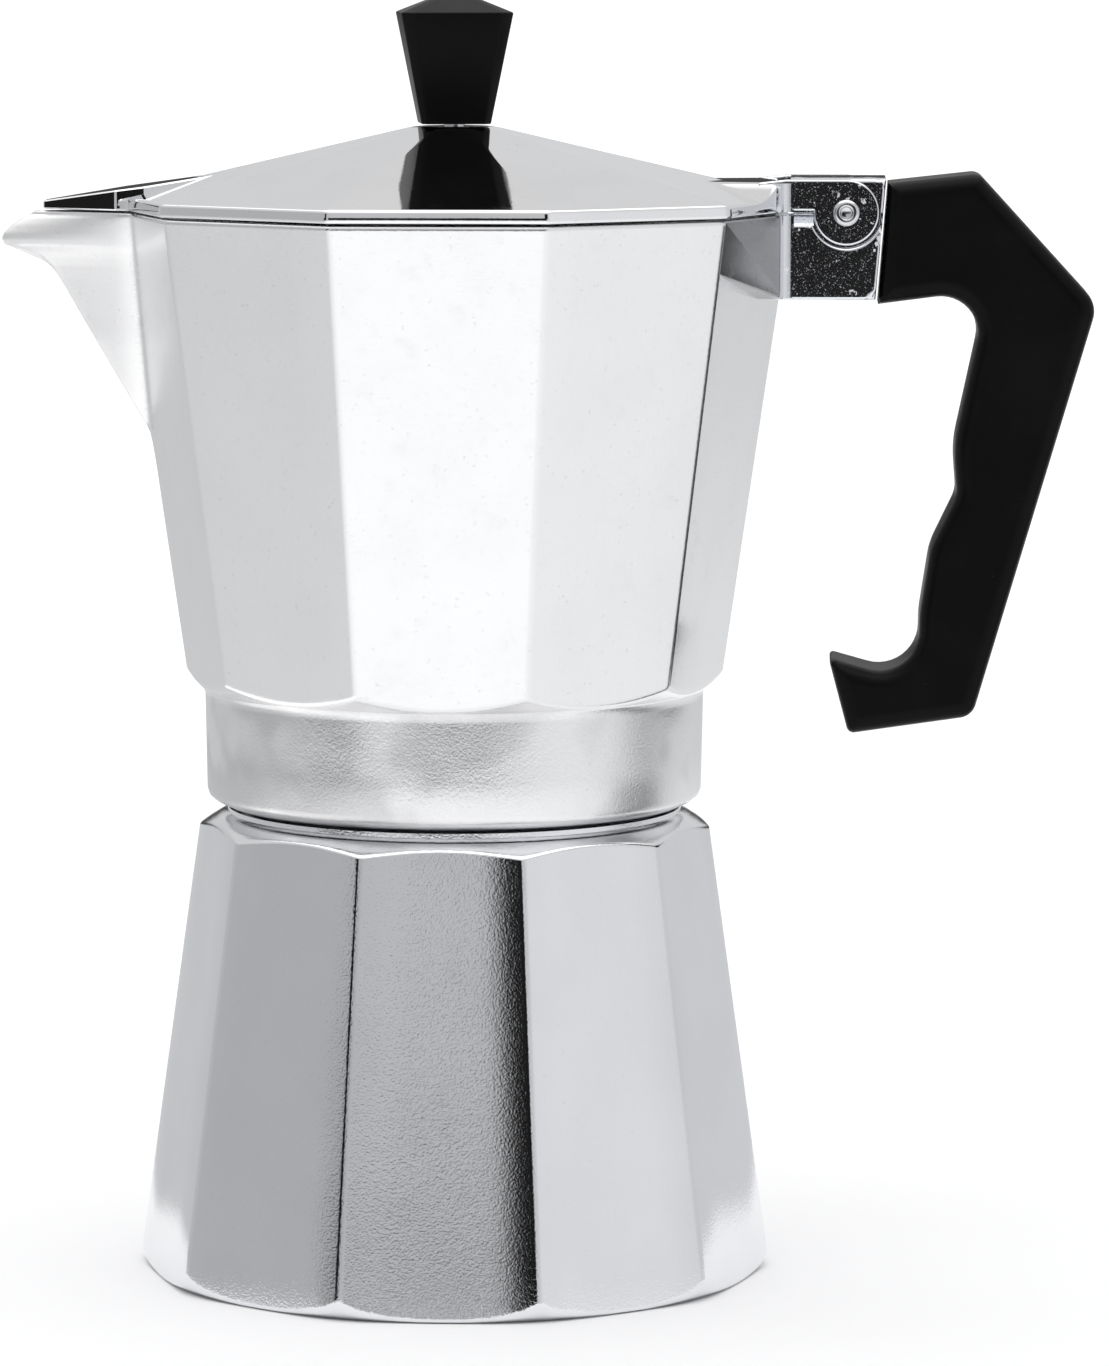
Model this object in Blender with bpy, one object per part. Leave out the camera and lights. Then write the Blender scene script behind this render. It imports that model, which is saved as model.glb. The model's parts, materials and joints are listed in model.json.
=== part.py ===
"""Moka pot: a stovetop coffee maker that unscrews in the middle.

The boiler holds the water, a safety valve and the coffee funnel. The collector screws onto the
boiler's neck and carries the gasket, the filter plate, the coffee column, the handle and the lid.

The origin is on the pot's axis at floor level. +Z is up, +X points to the handle and -X to the
spout. Every size below is written in millimetres and becomes metres as its mesh is made.
"""

import math

import bmesh
import bpy
from mathutils import Matrix, Vector

MM = 0.001

# ---------------------------------------------------------------- driving dimensions
SIDES = 10                      # both vessels have ten flat sides, with a corner towards the handle
SIDE_ANGLE = 360.0 / SIDES
INRADIUS = math.cos(math.radians(SIDE_ANGLE / 2))   # flat-side radius over corner radius

LARGE_SEGMENTS = 48             # facets around the big turned surfaces
PLATE_SEGMENTS = 40
SMALL_SEGMENTS = 16
GAP = 0.3                       # clearance between pieces that touch

BOILER_FLOOR_CORNER = 52.53     # corner radius of the boiler at the floor
BOILER_TAPER = -0.1391          # change of the corner radius for each unit of height
BOILER_WALL = 3.0
BOILER_BASE = 4.0
SHOULDER_TOP = 75.8
NECK_RING_RADIUS = 37.2
NECK_RADIUS = 35.9
NECK_BORE = 30.9
NECK_TOP = 90.0

THREAD_PITCH = 3.0
THREAD_TURNS = 3.0
THREAD_START = 79.2
THREAD_STEPS = 30               # straight steps in each turn of thread
THREAD_CREST = 36.9             # outer radius of the neck's thread
THREAD_ROOT_WIDTH = 1.45
THREAD_CREST_WIDTH = 0.75

COLLAR_BOTTOM = 77.2
COLLAR_BORE = 37.3
COLLAR_THREAD_CREST = 36.4
SEAT_HEIGHT = 93.6              # underside that presses on the gasket
SEAT_RADIUS = 36.05
COLLECTOR_FLOOR = 98.0
COLLECTOR_FOOT = 96.0           # height at which the flat sides grow out of the collar
RIM_HEIGHT = 173.7
RIM_CORNER = 55.0
COLLECTOR_TAPER = 0.14485
COLLECTOR_WALL = 2.8

PIN_X = 63.6
PIN_Z = 174.1
PIN_RADIUS = 1.5
PIN_HOLE_RADIUS = 1.8
EAR_RADIUS = 5.3
EAR_OUTER = 11.0                # half the width over the lid's two ears
EAR_INNER = 9.3
LUG_LOW = 160.1
LUG_HIGH = 179.4
LUG_END_LOW = 68.35
LUG_END_HIGH = 70.0

LID_LOW = 174.1
LID_CORNER = 55.8
LID_SKIRT_TOP = 176.1
LID_APEX = 189.1
LID_FLAT_TOP = 187.6
LID_SHELL = 1.9
ARM_TOP = 178.9

KNOB_LOW = 188.0
KNOB_EDGE = 206.0
KNOB_HIGH = 209.3
KNOB_TURN = 7.0                 # degrees that the square knob is turned on its screw

HANDLE_HALF_WIDTH = 8.5
TONGUE_HALF_WIDTH = 4.3

VALVE_HEIGHT = 52.0
VALVE_SEGMENTS = 24
VALVE_SHANK = 4.0
VALVE_BARREL = 4.9
VALVE_HEX = 7.0                 # half the width over the hexagon's corners
VALVE_LIP = 8.3                 # where the cap starts, out from the wall
PISTON_TOP = 1.2
SPRING_RADIUS = 2.15
SPRING_WIRE = 0.32              # radius of the wire
SPRING_TURNS = 4
SPRING_STEPS = 10               # straight steps in each coil
SPRING_SIDES = 5

HOLE_RADIUS = 1.2               # perforations of the plate and the sieve
HOLE_ROWS = 2
HOLE_SPACING = 10.0
HOLE_SIDES = 6

LUG_ROOT = 46.0                 # where the lug starts, inside the vessel's wall
LUG_FACE = 53.6                 # where the wings meet the lug's sides
WING_LOW = 165.1
SPOUT_INSET = 2.3               # wall of the spout
BEAK_SHELL = 1.8                # wall of the cover over the spout
CUT_REACH = 14.0                # half the length of the tools that cut right through the lug

STEEL = ((0.60, 0.60, 0.62, 1.0), 0.28, 1.0)
CAST_ALUMINIUM = ((0.80, 0.81, 0.83, 1.0), 0.32, 1.0)
POLISHED_ALUMINIUM = ((0.86, 0.86, 0.88, 1.0), 0.14, 1.0)
SPUN_ALUMINIUM = ((0.78, 0.79, 0.80, 1.0), 0.35, 1.0)
BRASS = ((0.78, 0.60, 0.30, 1.0), 0.25, 1.0)
COPPER = ((0.80, 0.45, 0.32, 1.0), 0.35, 1.0)
WHITE_RUBBER = ((0.86, 0.84, 0.78, 1.0), 0.60, 0.0)
BLACK_PHENOLIC = ((0.012, 0.012, 0.014, 1.0), 0.30, 0.0)


# ---------------------------------------------------------------- building blocks
def clear_scene():
    """Remove whatever the file holds, so that the script can be run again."""
    for item in list(bpy.data.objects):
        bpy.data.objects.remove(item, do_unlink=True)


def material(name, finish):
    """Return a Principled material with a colour, a roughness and a metallic value."""
    colour, roughness, metallic = finish
    made = bpy.data.materials.new(name)
    made.use_nodes = True
    shader = made.node_tree.nodes["Principled BSDF"]
    shader.inputs["Base Color"].default_value = colour
    shader.inputs["Roughness"].default_value = roughness
    shader.inputs["Metallic"].default_value = metallic
    made.diffuse_color = colour
    return made


def add_object(name, bm, finish=None, parent=None):
    """Turn a finished bmesh into an object. Without a finish it is a hidden cutting tool."""
    bmesh.ops.recalc_face_normals(bm, faces=bm.faces)
    mesh = bpy.data.meshes.new(name)
    bm.to_mesh(mesh)
    bm.free()
    mesh.shade_smooth()
    mesh.set_sharp_from_angle(angle=math.radians(30))
    made = bpy.data.objects.new(name, mesh)
    bpy.context.scene.collection.objects.link(made)
    if finish is None:
        made.hide_render = True
        made.display_type = "WIRE"
    else:
        mesh.materials.append(material(name, finish))
    if parent is not None:
        made.parent = parent
    return made


def turned(name, profile, finish=None, segments=LARGE_SEGMENTS, parent=None):
    """Turn a (radius, height) outline about a vertical axis into a closed body."""
    bm = bmesh.new()
    ring = [bm.verts.new((radius * MM, 0.0, height * MM)) for radius, height in profile]
    touches_axis = profile[0][0] == 0 and profile[-1][0] == 0
    first = 1 if touches_axis else 0
    edges = [bm.edges.new((ring[i - 1], ring[i])) for i in range(first, len(ring))]
    bmesh.ops.spin(bm, geom=ring + edges, cent=(0, 0, 0), axis=(0, 0, 1),
                   angle=math.tau, steps=segments)
    bmesh.ops.remove_doubles(bm, verts=bm.verts, dist=1e-7)
    return add_object(name, bm, finish, parent)


def stacked(name, rings, finish=None, parent=None):
    """Join rings of points, each with the same count, into a closed body with two end caps."""
    bm = bmesh.new()
    layers = [[bm.verts.new(Vector(point) * MM) for point in ring] for ring in rings]
    for lower, upper in zip(layers, layers[1:]):
        for i in range(len(lower)):
            bm.faces.new((lower[i - 1], lower[i], upper[i], upper[i - 1]))
    bm.faces.new(layers[0])
    bm.faces.new(layers[-1])
    return add_object(name, bm, finish, parent)


def hull(name, points):
    """Wrap points in their convex hull."""
    bm = bmesh.new()
    corners = [bm.verts.new(Vector(point) * MM) for point in points]
    wrapped = bmesh.ops.convex_hull(bm, input=corners)
    unused = [item for item in wrapped["geom_interior"] if isinstance(item, bmesh.types.BMVert)]
    bmesh.ops.delete(bm, geom=unused, context="VERTS")
    return add_object(name, bm)


def block(name, low, high):
    """A box between its lowest and its highest corner."""
    corners = [(x, y, z) for x in (low[0], high[0]) for y in (low[1], high[1]) for z in (low[2], high[2])]
    return hull(name, corners)


def slab(name, outline, low_y, high_y, finish=None):
    """Extrude an (x, z) outline between two y values."""
    return stacked(name, [[(x, y, z) for x, z in outline] for y in (low_y, high_y)], finish)


def combine(target, tool, operation, solver="EXACT"):
    """Add a live Boolean to an object, and name it after its tool."""
    step = target.modifiers.new(tool.name, "BOOLEAN")
    step.operation = operation
    step.solver = solver
    step.object = tool


def round_edges(target, width, segments, angle=40.0):
    """Add a live Bevel to an object's sharp edges."""
    step = target.modifiers.new("rounded_edges", "BEVEL")
    step.width = width * MM
    step.segments = segments
    step.limit_method = "ANGLE"
    step.angle_limit = math.radians(angle)
    step.use_clamp_overlap = True


def side_ring(corner_radius, height):
    """The ten corners of a vessel's outline at one height."""
    angles = [math.radians(SIDE_ANGLE * i) for i in range(SIDES)]
    return [(corner_radius * math.cos(a), corner_radius * math.sin(a), height) for a in angles]


def arc(centre, radius, start, end, steps):
    """Points on a circle from one angle to another, in degrees."""
    spread = [math.radians(start + (end - start) * i / steps) for i in range(steps + 1)]
    return [(centre[0] + radius * math.cos(a), centre[1] + radius * math.sin(a)) for a in spread]


def rounded_outline(corners, steps=4):
    """Replace each (x, z, radius) corner by an arc that touches both of its sides."""
    outline = []
    for i, (x, z, radius) in enumerate(corners):
        here = Vector((x, z))
        before = Vector(corners[i - 1][:2]) - here
        after = Vector(corners[(i + 1) % len(corners)][:2]) - here
        if radius == 0:
            outline.append((x, z))
            continue
        half = before.angle(after) / 2
        reach = radius / math.tan(half)
        start = here + before.normalized() * reach
        middle = here + (before.normalized() + after.normalized()).normalized() * radius / math.sin(half)
        sweep = (start - middle).angle_signed(here + after.normalized() * reach - middle)
        for k in range(steps + 1):
            turn = Matrix.Rotation(-sweep * k / steps, 2)
            outline.append(tuple(middle + turn @ (start - middle)))
    return outline


def interpolate(table, value):
    """Read a value from a short table of (position, value) pairs, straight between them."""
    for (low, first), (high, second) in zip(table, table[1:]):
        if value <= high:
            break
    share = (value - low) / (high - low)
    return first + (second - first) * share


def helical_ridge(name, root_radius, crest_radius, start):
    """A thread: a right-hand ridge that fades in and out at its two ends."""
    rings = []
    count = int(THREAD_TURNS * THREAD_STEPS)
    fade = THREAD_STEPS // 10
    for i in range(count + 1):
        turn = math.tau * i / THREAD_STEPS
        height = start + THREAD_PITCH * i / THREAD_STEPS
        share = min(1.0, (i + 0.5) / fade, (count - i + 0.5) / fade)
        crest = root_radius + (crest_radius - root_radius) * share
        section = [(root_radius, -THREAD_ROOT_WIDTH / 2), (crest, -THREAD_CREST_WIDTH / 2),
                   (crest, THREAD_CREST_WIDTH / 2), (root_radius, THREAD_ROOT_WIDTH / 2)]
        rings.append([(r * math.cos(turn), r * math.sin(turn), height + h) for r, h in section])
    return stacked(name, rings)


def hole_grid(name, low, high):
    """Upright prisms in round rows, which cut the holes of a perforated plate."""
    bm = bmesh.new()
    places = [(0.0, 0.0)]
    for row in range(1, HOLE_ROWS + 1):
        reach = row * HOLE_SPACING
        for i in range(6 * row):
            turn = math.tau * i / (6 * row)
            places.append((reach * math.cos(turn), reach * math.sin(turn)))
    for x, y in places:
        at = Matrix.Translation(Vector((x, y, (low + high) / 2)) * MM)
        bmesh.ops.create_cone(bm, cap_ends=True, segments=HOLE_SIDES, radius1=HOLE_RADIUS * MM,
                              radius2=HOLE_RADIUS * MM, depth=(high - low) * MM, matrix=at)
    return add_object(name, bm)


# ---------------------------------------------------------------- boiler and its safety valve
def boiler_corner(height):
    """Corner radius of the boiler at one height."""
    return BOILER_FLOOR_CORNER + BOILER_TAPER * height


def make_boiler(valve_axis):
    """Ten-sided water vessel with turned edges, a screwed neck and a hole for the valve."""
    boiler = stacked("boiler", [side_ring(boiler_corner(-2), -2), side_ring(boiler_corner(96), 96)],
                     CAST_ALUMINIUM)
    envelope = [(0, 0), (48.9, 0), (50.4, 0.35), (51.6, 1.1), (52.4, 2.3), (53.0, 4.0), (53.0, 65.0),
                (44.0, 71.6), (42.4, 72.8), (40.1, 74.3), (38.6, 75.2), (37.6, 75.6),
                (NECK_RING_RADIUS, SHOULDER_TOP), (NECK_RING_RADIUS, SHOULDER_TOP + 0.8),
                (NECK_RADIUS, SHOULDER_TOP + 1.3), (NECK_RADIUS, NECK_TOP - 0.6),
                (NECK_RADIUS - 0.6, NECK_TOP), (0, NECK_TOP)]
    inner_foot = boiler_corner(6) * INRADIUS - BOILER_WALL
    inner_top = boiler_corner(69.5) * INRADIUS - BOILER_WALL
    cavity = [(0, BOILER_BASE), (inner_foot - 2.5, BOILER_BASE), (inner_foot - 0.7, BOILER_BASE + 0.8),
              (inner_foot, BOILER_BASE + 2.6), (inner_top, 69.5), (34.4, 72.8), (31.6, 75.2),
              (NECK_BORE, 76.6), (NECK_BORE, NECK_TOP - 1.1), (33.4, NECK_TOP - 1.1),
              (33.4, NECK_TOP + 2.0), (0, NECK_TOP + 2.0)]
    combine(boiler, turned("boiler_envelope", envelope), "INTERSECT")
    # The exact solver leaves a hairline crack where the cavity meets the cut sides.
    combine(boiler, turned("boiler_cavity", cavity), "DIFFERENCE", "MANIFOLD")
    thread = helical_ridge("neck_thread", NECK_RADIUS - 0.35, THREAD_CREST, THREAD_START)
    combine(boiler, thread, "UNION", "MANIFOLD")
    hole = VALVE_SHANK + GAP
    bore = turned("valve_hole", [(0, -9), (hole, -9), (hole, 6), (0, 6)], None, VALVE_SEGMENTS, valve_axis)
    combine(boiler, bore, "DIFFERENCE", "MANIFOLD")


def make_valve(valve_axis):
    """Safety valve on the boiler's back. Its own +Z points out of the wall, from the wall's face."""
    flats = arc((0.0, 0.0), VALVE_HEX, 0.0, 300.0, 5)
    outside = [(0, -4.4), (VALVE_SHANK, -4.4), (VALVE_SHANK, 2.0), (VALVE_BARREL, 2.0),
               (VALVE_BARREL, VALVE_LIP - GAP), (0, VALVE_LIP - GAP)]
    body = turned("valve_body", outside, BRASS, VALVE_SEGMENTS, valve_axis)
    hexagon = stacked("valve_hexagon", [[(x, y, z) for x, y in flats] for z in (1.2, 4.0)],
                      parent=valve_axis)
    combine(body, hexagon, "UNION")
    chamber = [(0, -6), (1.6, -6), (1.6, -1.2), (3.3, -0.6), (3.3, 9), (0, 9)]
    combine(body, turned("valve_chamber", chamber, None, VALVE_SEGMENTS, valve_axis), "DIFFERENCE")

    washer = [(4.4, GAP), (6.4, GAP), (6.4, 0.9), (4.4, 0.9)]
    turned("valve_washer", washer, COPPER, VALVE_SEGMENTS, valve_axis)
    cap = [(1.4, VALVE_LIP), (VALVE_BARREL, VALVE_LIP), (4.6, 9.1), (1.4, 9.1)]
    turned("valve_cap", cap, BRASS, VALVE_SEGMENTS, valve_axis)
    piston = [(0, -0.3), (2.2, -0.3), (2.8, 0.3), (2.8, PISTON_TOP), (1.0, PISTON_TOP), (1.0, 10.2),
              (0.7, 10.6), (0, 10.6)]
    turned("valve_piston", piston, STEEL, SMALL_SEGMENTS, valve_axis)
    make_spring(valve_axis)


def make_spring(valve_axis):
    """Coil spring between the piston's head and the valve's cap."""
    low = PISTON_TOP + GAP + SPRING_WIRE
    high = VALVE_LIP - GAP - SPRING_WIRE
    count = SPRING_TURNS * SPRING_STEPS
    rings = []
    for i in range(count + 1):
        turn = math.tau * i / SPRING_STEPS
        height = low + (high - low) * i / count
        ring = []
        for k in range(SPRING_SIDES):
            around = math.tau * k / SPRING_SIDES
            reach = SPRING_RADIUS + SPRING_WIRE * math.cos(around)
            ring.append((reach * math.cos(turn), reach * math.sin(turn),
                         height + SPRING_WIRE * math.sin(around)))
        rings.append(ring)
    stacked("valve_spring", rings, STEEL, valve_axis)


# ---------------------------------------------------------------- coffee funnel, gasket and plate
def make_funnel():
    """Coffee basket hung in the neck, with its stem and the sieve under the coffee."""
    basket = [(29.2, 90.0), (33.0, 90.0), (33.0, 89.3), (30.2, 89.3), (30.2, 66.0), (28.6, 63.6),
              (6.4, 55.6), (4.9, 53.6), (4.9, 46.0), (4.0, 46.0), (4.0, 54.2), (5.6, 56.4),
              (27.8, 64.5), (29.2, 66.6)]
    turned("funnel_basket", basket, SPUN_ALUMINIUM, PLATE_SEGMENTS)
    turned("funnel_stem", [(5.2, 8.0), (6.0, 8.0), (6.0, 53.2), (5.2, 53.2)], SPUN_ALUMINIUM, 24)
    sieve = turned("funnel_sieve", [(0, 66.9), (28.8, 66.9), (28.8, 67.6), (0, 67.6)],
                   SPUN_ALUMINIUM, PLATE_SEGMENTS)
    combine(sieve, hole_grid("sieve_holes", 66.0, 69.0), "DIFFERENCE")


def make_seal():
    """Ring gasket with the filter plate held in its inner groove."""
    ring = [(28.6, 90.3), (35.7, 90.3), (35.7, 93.3), (28.6, 93.3), (28.6, 92.8), (30.2, 92.8),
            (30.2, 91.4), (28.6, 91.4)]
    turned("gasket", ring, WHITE_RUBBER, PLATE_SEGMENTS)
    plate = turned("filter_plate", [(0, 91.7), (29.9, 91.7), (29.9, 92.5), (0, 92.5)],
                   SPUN_ALUMINIUM, PLATE_SEGMENTS)
    combine(plate, hole_grid("plate_holes", 90.0, 94.0), "DIFFERENCE")


# ---------------------------------------------------------------- collector
def collector_corner(height):
    """Corner radius of the collector at one height."""
    return RIM_CORNER + COLLECTOR_TAPER * (height - RIM_HEIGHT)


SPOUT_ROOT_LOW = 137.2
SPOUT_ROOT_HALF_WIDTH = 9.6     # where the spout meets the rim
# The spout's front line, as (height, x): a straight ridge, the lip's curve and the lip's top.
SPOUT_FRONT = [(134.0, -48.8), (137.2, -49.6), (162.7, -64.35), (164.9, -65.8), (166.2, -67.2),
               (167.1, -68.95), (167.7, -71.1), (168.2, -73.3), (169.2, -73.84), (170.1, -73.55),
               (171.5, -72.1), (172.8, -70.3), (RIM_HEIGHT, -67.2)]
# The channel's front line inside it, which runs out through the lip.
CHANNEL_FRONT = [(144.0, -48.0), (150.0, -54.0), (162.7, -61.4), (166.2, -64.4), (167.8, -67.4),
                 (168.7, -70.6), (169.3, -74.5), (169.6, -80.0), (177.0, -80.0)]


def spout_nose(height, inset):
    """Half the width over the spout's rounded front, and over its root, at one height."""
    root = SPOUT_ROOT_HALF_WIDTH * (height - SPOUT_ROOT_LOW) / (RIM_HEIGHT - SPOUT_ROOT_LOW)
    root = max(root, 0.6)
    nose = max(min(2.3, 0.55 * root) - inset * 0.5, 0.4)
    return nose, root


def spout_section(height, front, inset, back):
    """One level outline of the spout, from its root on one side, round its nose, to the other."""
    level = min(height, RIM_HEIGHT)
    nose, root = spout_nose(level, inset)
    outer_turn = interpolate(SPOUT_FRONT, level) + spout_nose(level, 0.0)[0]
    turn_in = max(front + nose, outer_turn)
    half = max(root - inset, nose + 0.1)
    root_x = -(collector_corner(level) - root * math.tan(math.radians(SIDE_ANGLE / 2)))
    root_x = max(root_x, turn_in + 0.5)
    side = []
    for i in range(5):
        share = i / 4
        x = root_x + (turn_in - root_x) * share
        side.append((x, nose + (half - nose) * (1 - share) ** 1.15))
    cap = [(turn_in + (front - turn_in) * math.sin(a), nose * math.cos(a))
           for a in (math.radians(d) for d in (30, 60))]
    outline = [(back, half)] + side + cap
    mirrored = [(x, -y) for x, y in reversed(outline)]
    return [(x, y, height) for x, y in outline + [(front, 0.0)] + mirrored]


def make_collector():
    """Ten-sided upper vessel with its screwed collar, spout and hinge lug."""
    collector = stacked("collector", [side_ring(48.0, 74.0),
                                      side_ring(collector_corner(COLLECTOR_FOOT), COLLECTOR_FOOT),
                                      side_ring(RIM_CORNER, RIM_HEIGHT)], CAST_ALUMINIUM)
    envelope = [(0, COLLAR_BOTTOM), (COLLAR_BORE + 0.3, COLLAR_BOTTOM), (39.5, 78.1), (40.2, 78.7),
                (40.5, 79.6), (40.8, 95.4), (41.2, 96.2), (42.4, 97.6), (43.6, 99.1), (44.7, 100.9),
                (46.6, 104.5), (62.0, 120.0), (62.0, 180.0), (0, 180.0)]
    combine(collector, turned("collar_envelope", envelope), "INTERSECT")

    levels = [height for height, _ in SPOUT_FRONT]
    spout = [spout_section(z, interpolate(SPOUT_FRONT, z), 0.0, -(collector_corner(z) - 8)) for z in levels]
    combine(collector, stacked("spout", spout), "UNION")
    # The exact solver leaves open edges at the lug and at the pieces that follow it.
    for tool in lug_pieces():
        combine(collector, tool, "UNION", "MANIFOLD")
    for tool in collector_cutters():
        combine(collector, tool, "DIFFERENCE", "MANIFOLD")
    thread = helical_ridge("collar_thread", COLLAR_BORE + 0.35, COLLAR_THREAD_CREST,
                           THREAD_START + THREAD_PITCH / 2)
    combine(collector, thread, "UNION", "MANIFOLD")


def lug_pieces():
    """The block behind the rim that carries the hinge, and the wings that blend it into the sides."""
    end = [(LUG_END_LOW, LUG_LOW), (LUG_END_HIGH, LUG_HIGH)]
    lug = slab("lug", [(LUG_ROOT, LUG_LOW)] + end + [(LUG_ROOT, LUG_HIGH)], -EAR_OUTER, EAR_OUTER)
    corner = math.radians(SIDE_ANGLE)
    pieces = [lug]
    for side in (-1, 1):
        points = []
        for height in (WING_LOW, RIM_HEIGHT - 0.02):
            reach = collector_corner(height) - 0.05
            points.append((reach * math.cos(corner), side * reach * math.sin(corner), height))
            points.append((reach * math.cos(corner) - 6, side * reach * math.sin(corner), height))
        for height in (LUG_LOW + 0.1, RIM_HEIGHT - 0.02):
            points.append((LUG_FACE, side * (EAR_OUTER - 0.1), height))
            points.append((LUG_ROOT, side * (EAR_OUTER - 0.1), height))
            points.append((LUG_FACE, side * (EAR_OUTER - 3.0), height))
        pieces.append(hull("wing_left" if side < 0 else "wing_right", points))
    return pieces


def collector_cutters():
    """Everything that is cut out of the collector."""
    floor_corner = collector_corner(COLLECTOR_FLOOR)
    wall = COLLECTOR_WALL / INRADIUS
    inside = stacked("vessel_inside", [side_ring(floor_corner - wall, COLLECTOR_FLOOR - 3),
                                       side_ring(collector_corner(180) - wall, 180)])
    bowl = [(0, COLLECTOR_FLOOR), (34.0, COLLECTOR_FLOOR), (37.5, COLLECTOR_FLOOR + 0.9),
            (40.0, COLLECTOR_FLOOR + 3.0), (42.5, COLLECTOR_FLOOR + 7.0), (62.0, 125.0), (62.0, 182.0),
            (0, 182.0)]
    combine(inside, turned("bowl", bowl), "INTERSECT")

    levels = [height for height, _ in CHANNEL_FRONT]
    channel = [spout_section(z, interpolate(CHANNEL_FRONT, z), SPOUT_INSET, -(collector_corner(z) - 9))
               for z in levels]
    underside = [(0, 70.0), (COLLAR_BORE, 70.0), (COLLAR_BORE, 90.2), (SEAT_RADIUS, 90.8),
                 (SEAT_RADIUS, SEAT_HEIGHT), (29.0, SEAT_HEIGHT), (9.5, 95.6), (7.1, 95.6), (7.1, 100.0),
                 (0, 100.0)]
    socket = block("tongue_socket", (57.1, -TONGUE_HALF_WIDTH - GAP, 163.0),
                   (75.0, TONGUE_HALF_WIDTH + GAP, 176.4))
    over_rim = block("space_over_rim", (40.0, -12.0, RIM_HEIGHT), (54.6, 12.0, 185.0))
    pin_hole = pin_bar("lug_pin_hole", PIN_HOLE_RADIUS, CUT_REACH)
    swing = arc((PIN_X, PIN_Z), EAR_RADIUS + 0.4, 199.5, 360.0, 12)
    pocket = [(54.2, 172.2)] + swing + [(75.0, PIN_Z), (75.0, 185.0), (54.2, 185.0)]
    floor = EAR_INNER - GAP
    pockets = [slab("pocket_left", pocket, -CUT_REACH, -floor),
               slab("pocket_right", pocket, floor, CUT_REACH)]
    return [inside, stacked("spout_channel", channel), turned("collar_inside", underside), socket,
            over_rim, pin_hole] + pockets


def pin_bar(name, radius, half_length):
    """A round bar along the hinge axis."""
    outline = arc((PIN_X, PIN_Z), radius, 0.0, 360.0 - 360.0 / SMALL_SEGMENTS, SMALL_SEGMENTS - 1)
    return slab(name, outline, -half_length, half_length)


def make_column():
    """Tapered tube that brings the coffee up, with two outlets under its closed top."""
    outside = [(0, 95.9), (6.8, 95.9), (6.8, COLLECTOR_FLOOR + GAP), (9.6, COLLECTOR_FLOOR + GAP),
               (9.6, 99.6), (7.6, 100.6), (7.3, 102.0), (5.0, 147.0), (4.4, 149.6), (2.6, 151.4), (0, 152.0)]
    column = turned("coffee_column", outside, CAST_ALUMINIUM, 24)
    bore = [(0, 94.0), (6.0, 94.0), (6.0, 96.4), (3.4, 102.0), (3.2, 147.4), (0, 147.4)]
    combine(column, turned("column_bore", bore, None, 24), "DIFFERENCE")
    combine(column, block("column_outlets", (-1.6, -8.0, 142.6), (1.6, 8.0, 147.0)), "DIFFERENCE")


# ---------------------------------------------------------------- lid, knob and hinge
def make_lid():
    """Hollow ten-sided lid with a cover over the spout and two ears for the hinge."""
    flat = LID_CORNER * (LID_APEX - LID_FLAT_TOP) / (LID_APEX - LID_SKIRT_TOP)
    lid = stacked("lid", [side_ring(LID_CORNER, LID_LOW), side_ring(LID_CORNER, LID_SKIRT_TOP),
                          side_ring(flat, LID_FLAT_TOP)], POLISHED_ALUMINIUM)
    combine(lid, lid_arm(), "UNION")
    combine(lid, lid_beak("lid_beak", 0.0), "UNION")
    inner_flat = LID_FLAT_TOP - LID_SHELL
    shell = LID_SHELL / INRADIUS
    hollow = [side_ring(LID_CORNER - shell, LID_LOW - 2), side_ring(LID_CORNER - shell, LID_SKIRT_TOP - 1.7),
              side_ring(flat + 1.0, inner_flat)]
    combine(lid, stacked("lid_hollow", hollow), "DIFFERENCE")
    combine(lid, lid_beak("beak_hollow", BEAK_SHELL), "DIFFERENCE")
    hole = [(0, 180), (2.2, 180), (2.2, 190), (0, 190)]
    combine(lid, turned("knob_screw_hole", hole, None, SMALL_SEGMENTS), "DIFFERENCE")
    combine(lid, block("ear_slot", (52.8, -EAR_INNER, 160.0), (72.0, EAR_INNER, 184.0)), "DIFFERENCE")
    combine(lid, pin_bar("ear_pin_hole", PIN_HOLE_RADIUS, CUT_REACH), "DIFFERENCE")


def lid_arm():
    """The arm over the rim: a wedge that grows out of the slope and ends in the two ears."""
    arm_low = PIN_Z + 0.3
    ear_top = PIN_Z + EAR_RADIUS
    corner = math.radians(SIDE_ANGLE)
    reach = LID_CORNER - 0.05
    points = [(30.0, 0.0, LID_SKIRT_TOP)]
    for side in (-1, 1):
        points += [(reach * math.cos(corner), side * reach * math.sin(corner), LID_LOW),
                   (reach * math.cos(corner), side * reach * math.sin(corner), LID_SKIRT_TOP),
                   (53.2, side * EAR_OUTER, LID_LOW), (53.2, side * EAR_OUTER, ARM_TOP),
                   (41.0, side * 8.0, ARM_TOP)]
    arm = hull("lid_arm", points)
    disc = arc((PIN_X, PIN_Z), EAR_RADIUS, 90.0, -180.0 + math.degrees(math.asin(-0.3 / EAR_RADIUS)), 18)
    outline = [(49.0, arm_low), (49.0, ARM_TOP), (54.0, ear_top)] + disc
    combine(arm, slab("lid_ears", outline, -EAR_OUTER, EAR_OUTER), "UNION")
    return arm


def lid_beak(name, inset):
    """Cover over the spout. With an inset it is the hollow inside the cover."""
    low = LID_LOW if inset == 0 else LID_LOW - 2
    side = inset * 1.1
    points = []
    for sign in (-1, 1):
        points += [(-66.9 + inset * 1.6, sign * max(2.4 - side, 0.5), low),
                   (-66.9 + inset * 1.6, sign * max(2.0 - side, 0.4), 175.45 - inset * 0.7),
                   (-54.4, sign * (9.4 - side), low), (-54.4, sign * (8.9 - side), 177.4 - inset),
                   (-50.0, sign * (11.4 - side), low), (-50.0, sign * (9.2 - side), 177.8 - inset),
                   (-41.1, sign * (6.0 - side / 2), 179.2 - inset), (-41.1, sign * (6.0 - side / 2), low)]
    return hull(name, points)


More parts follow.
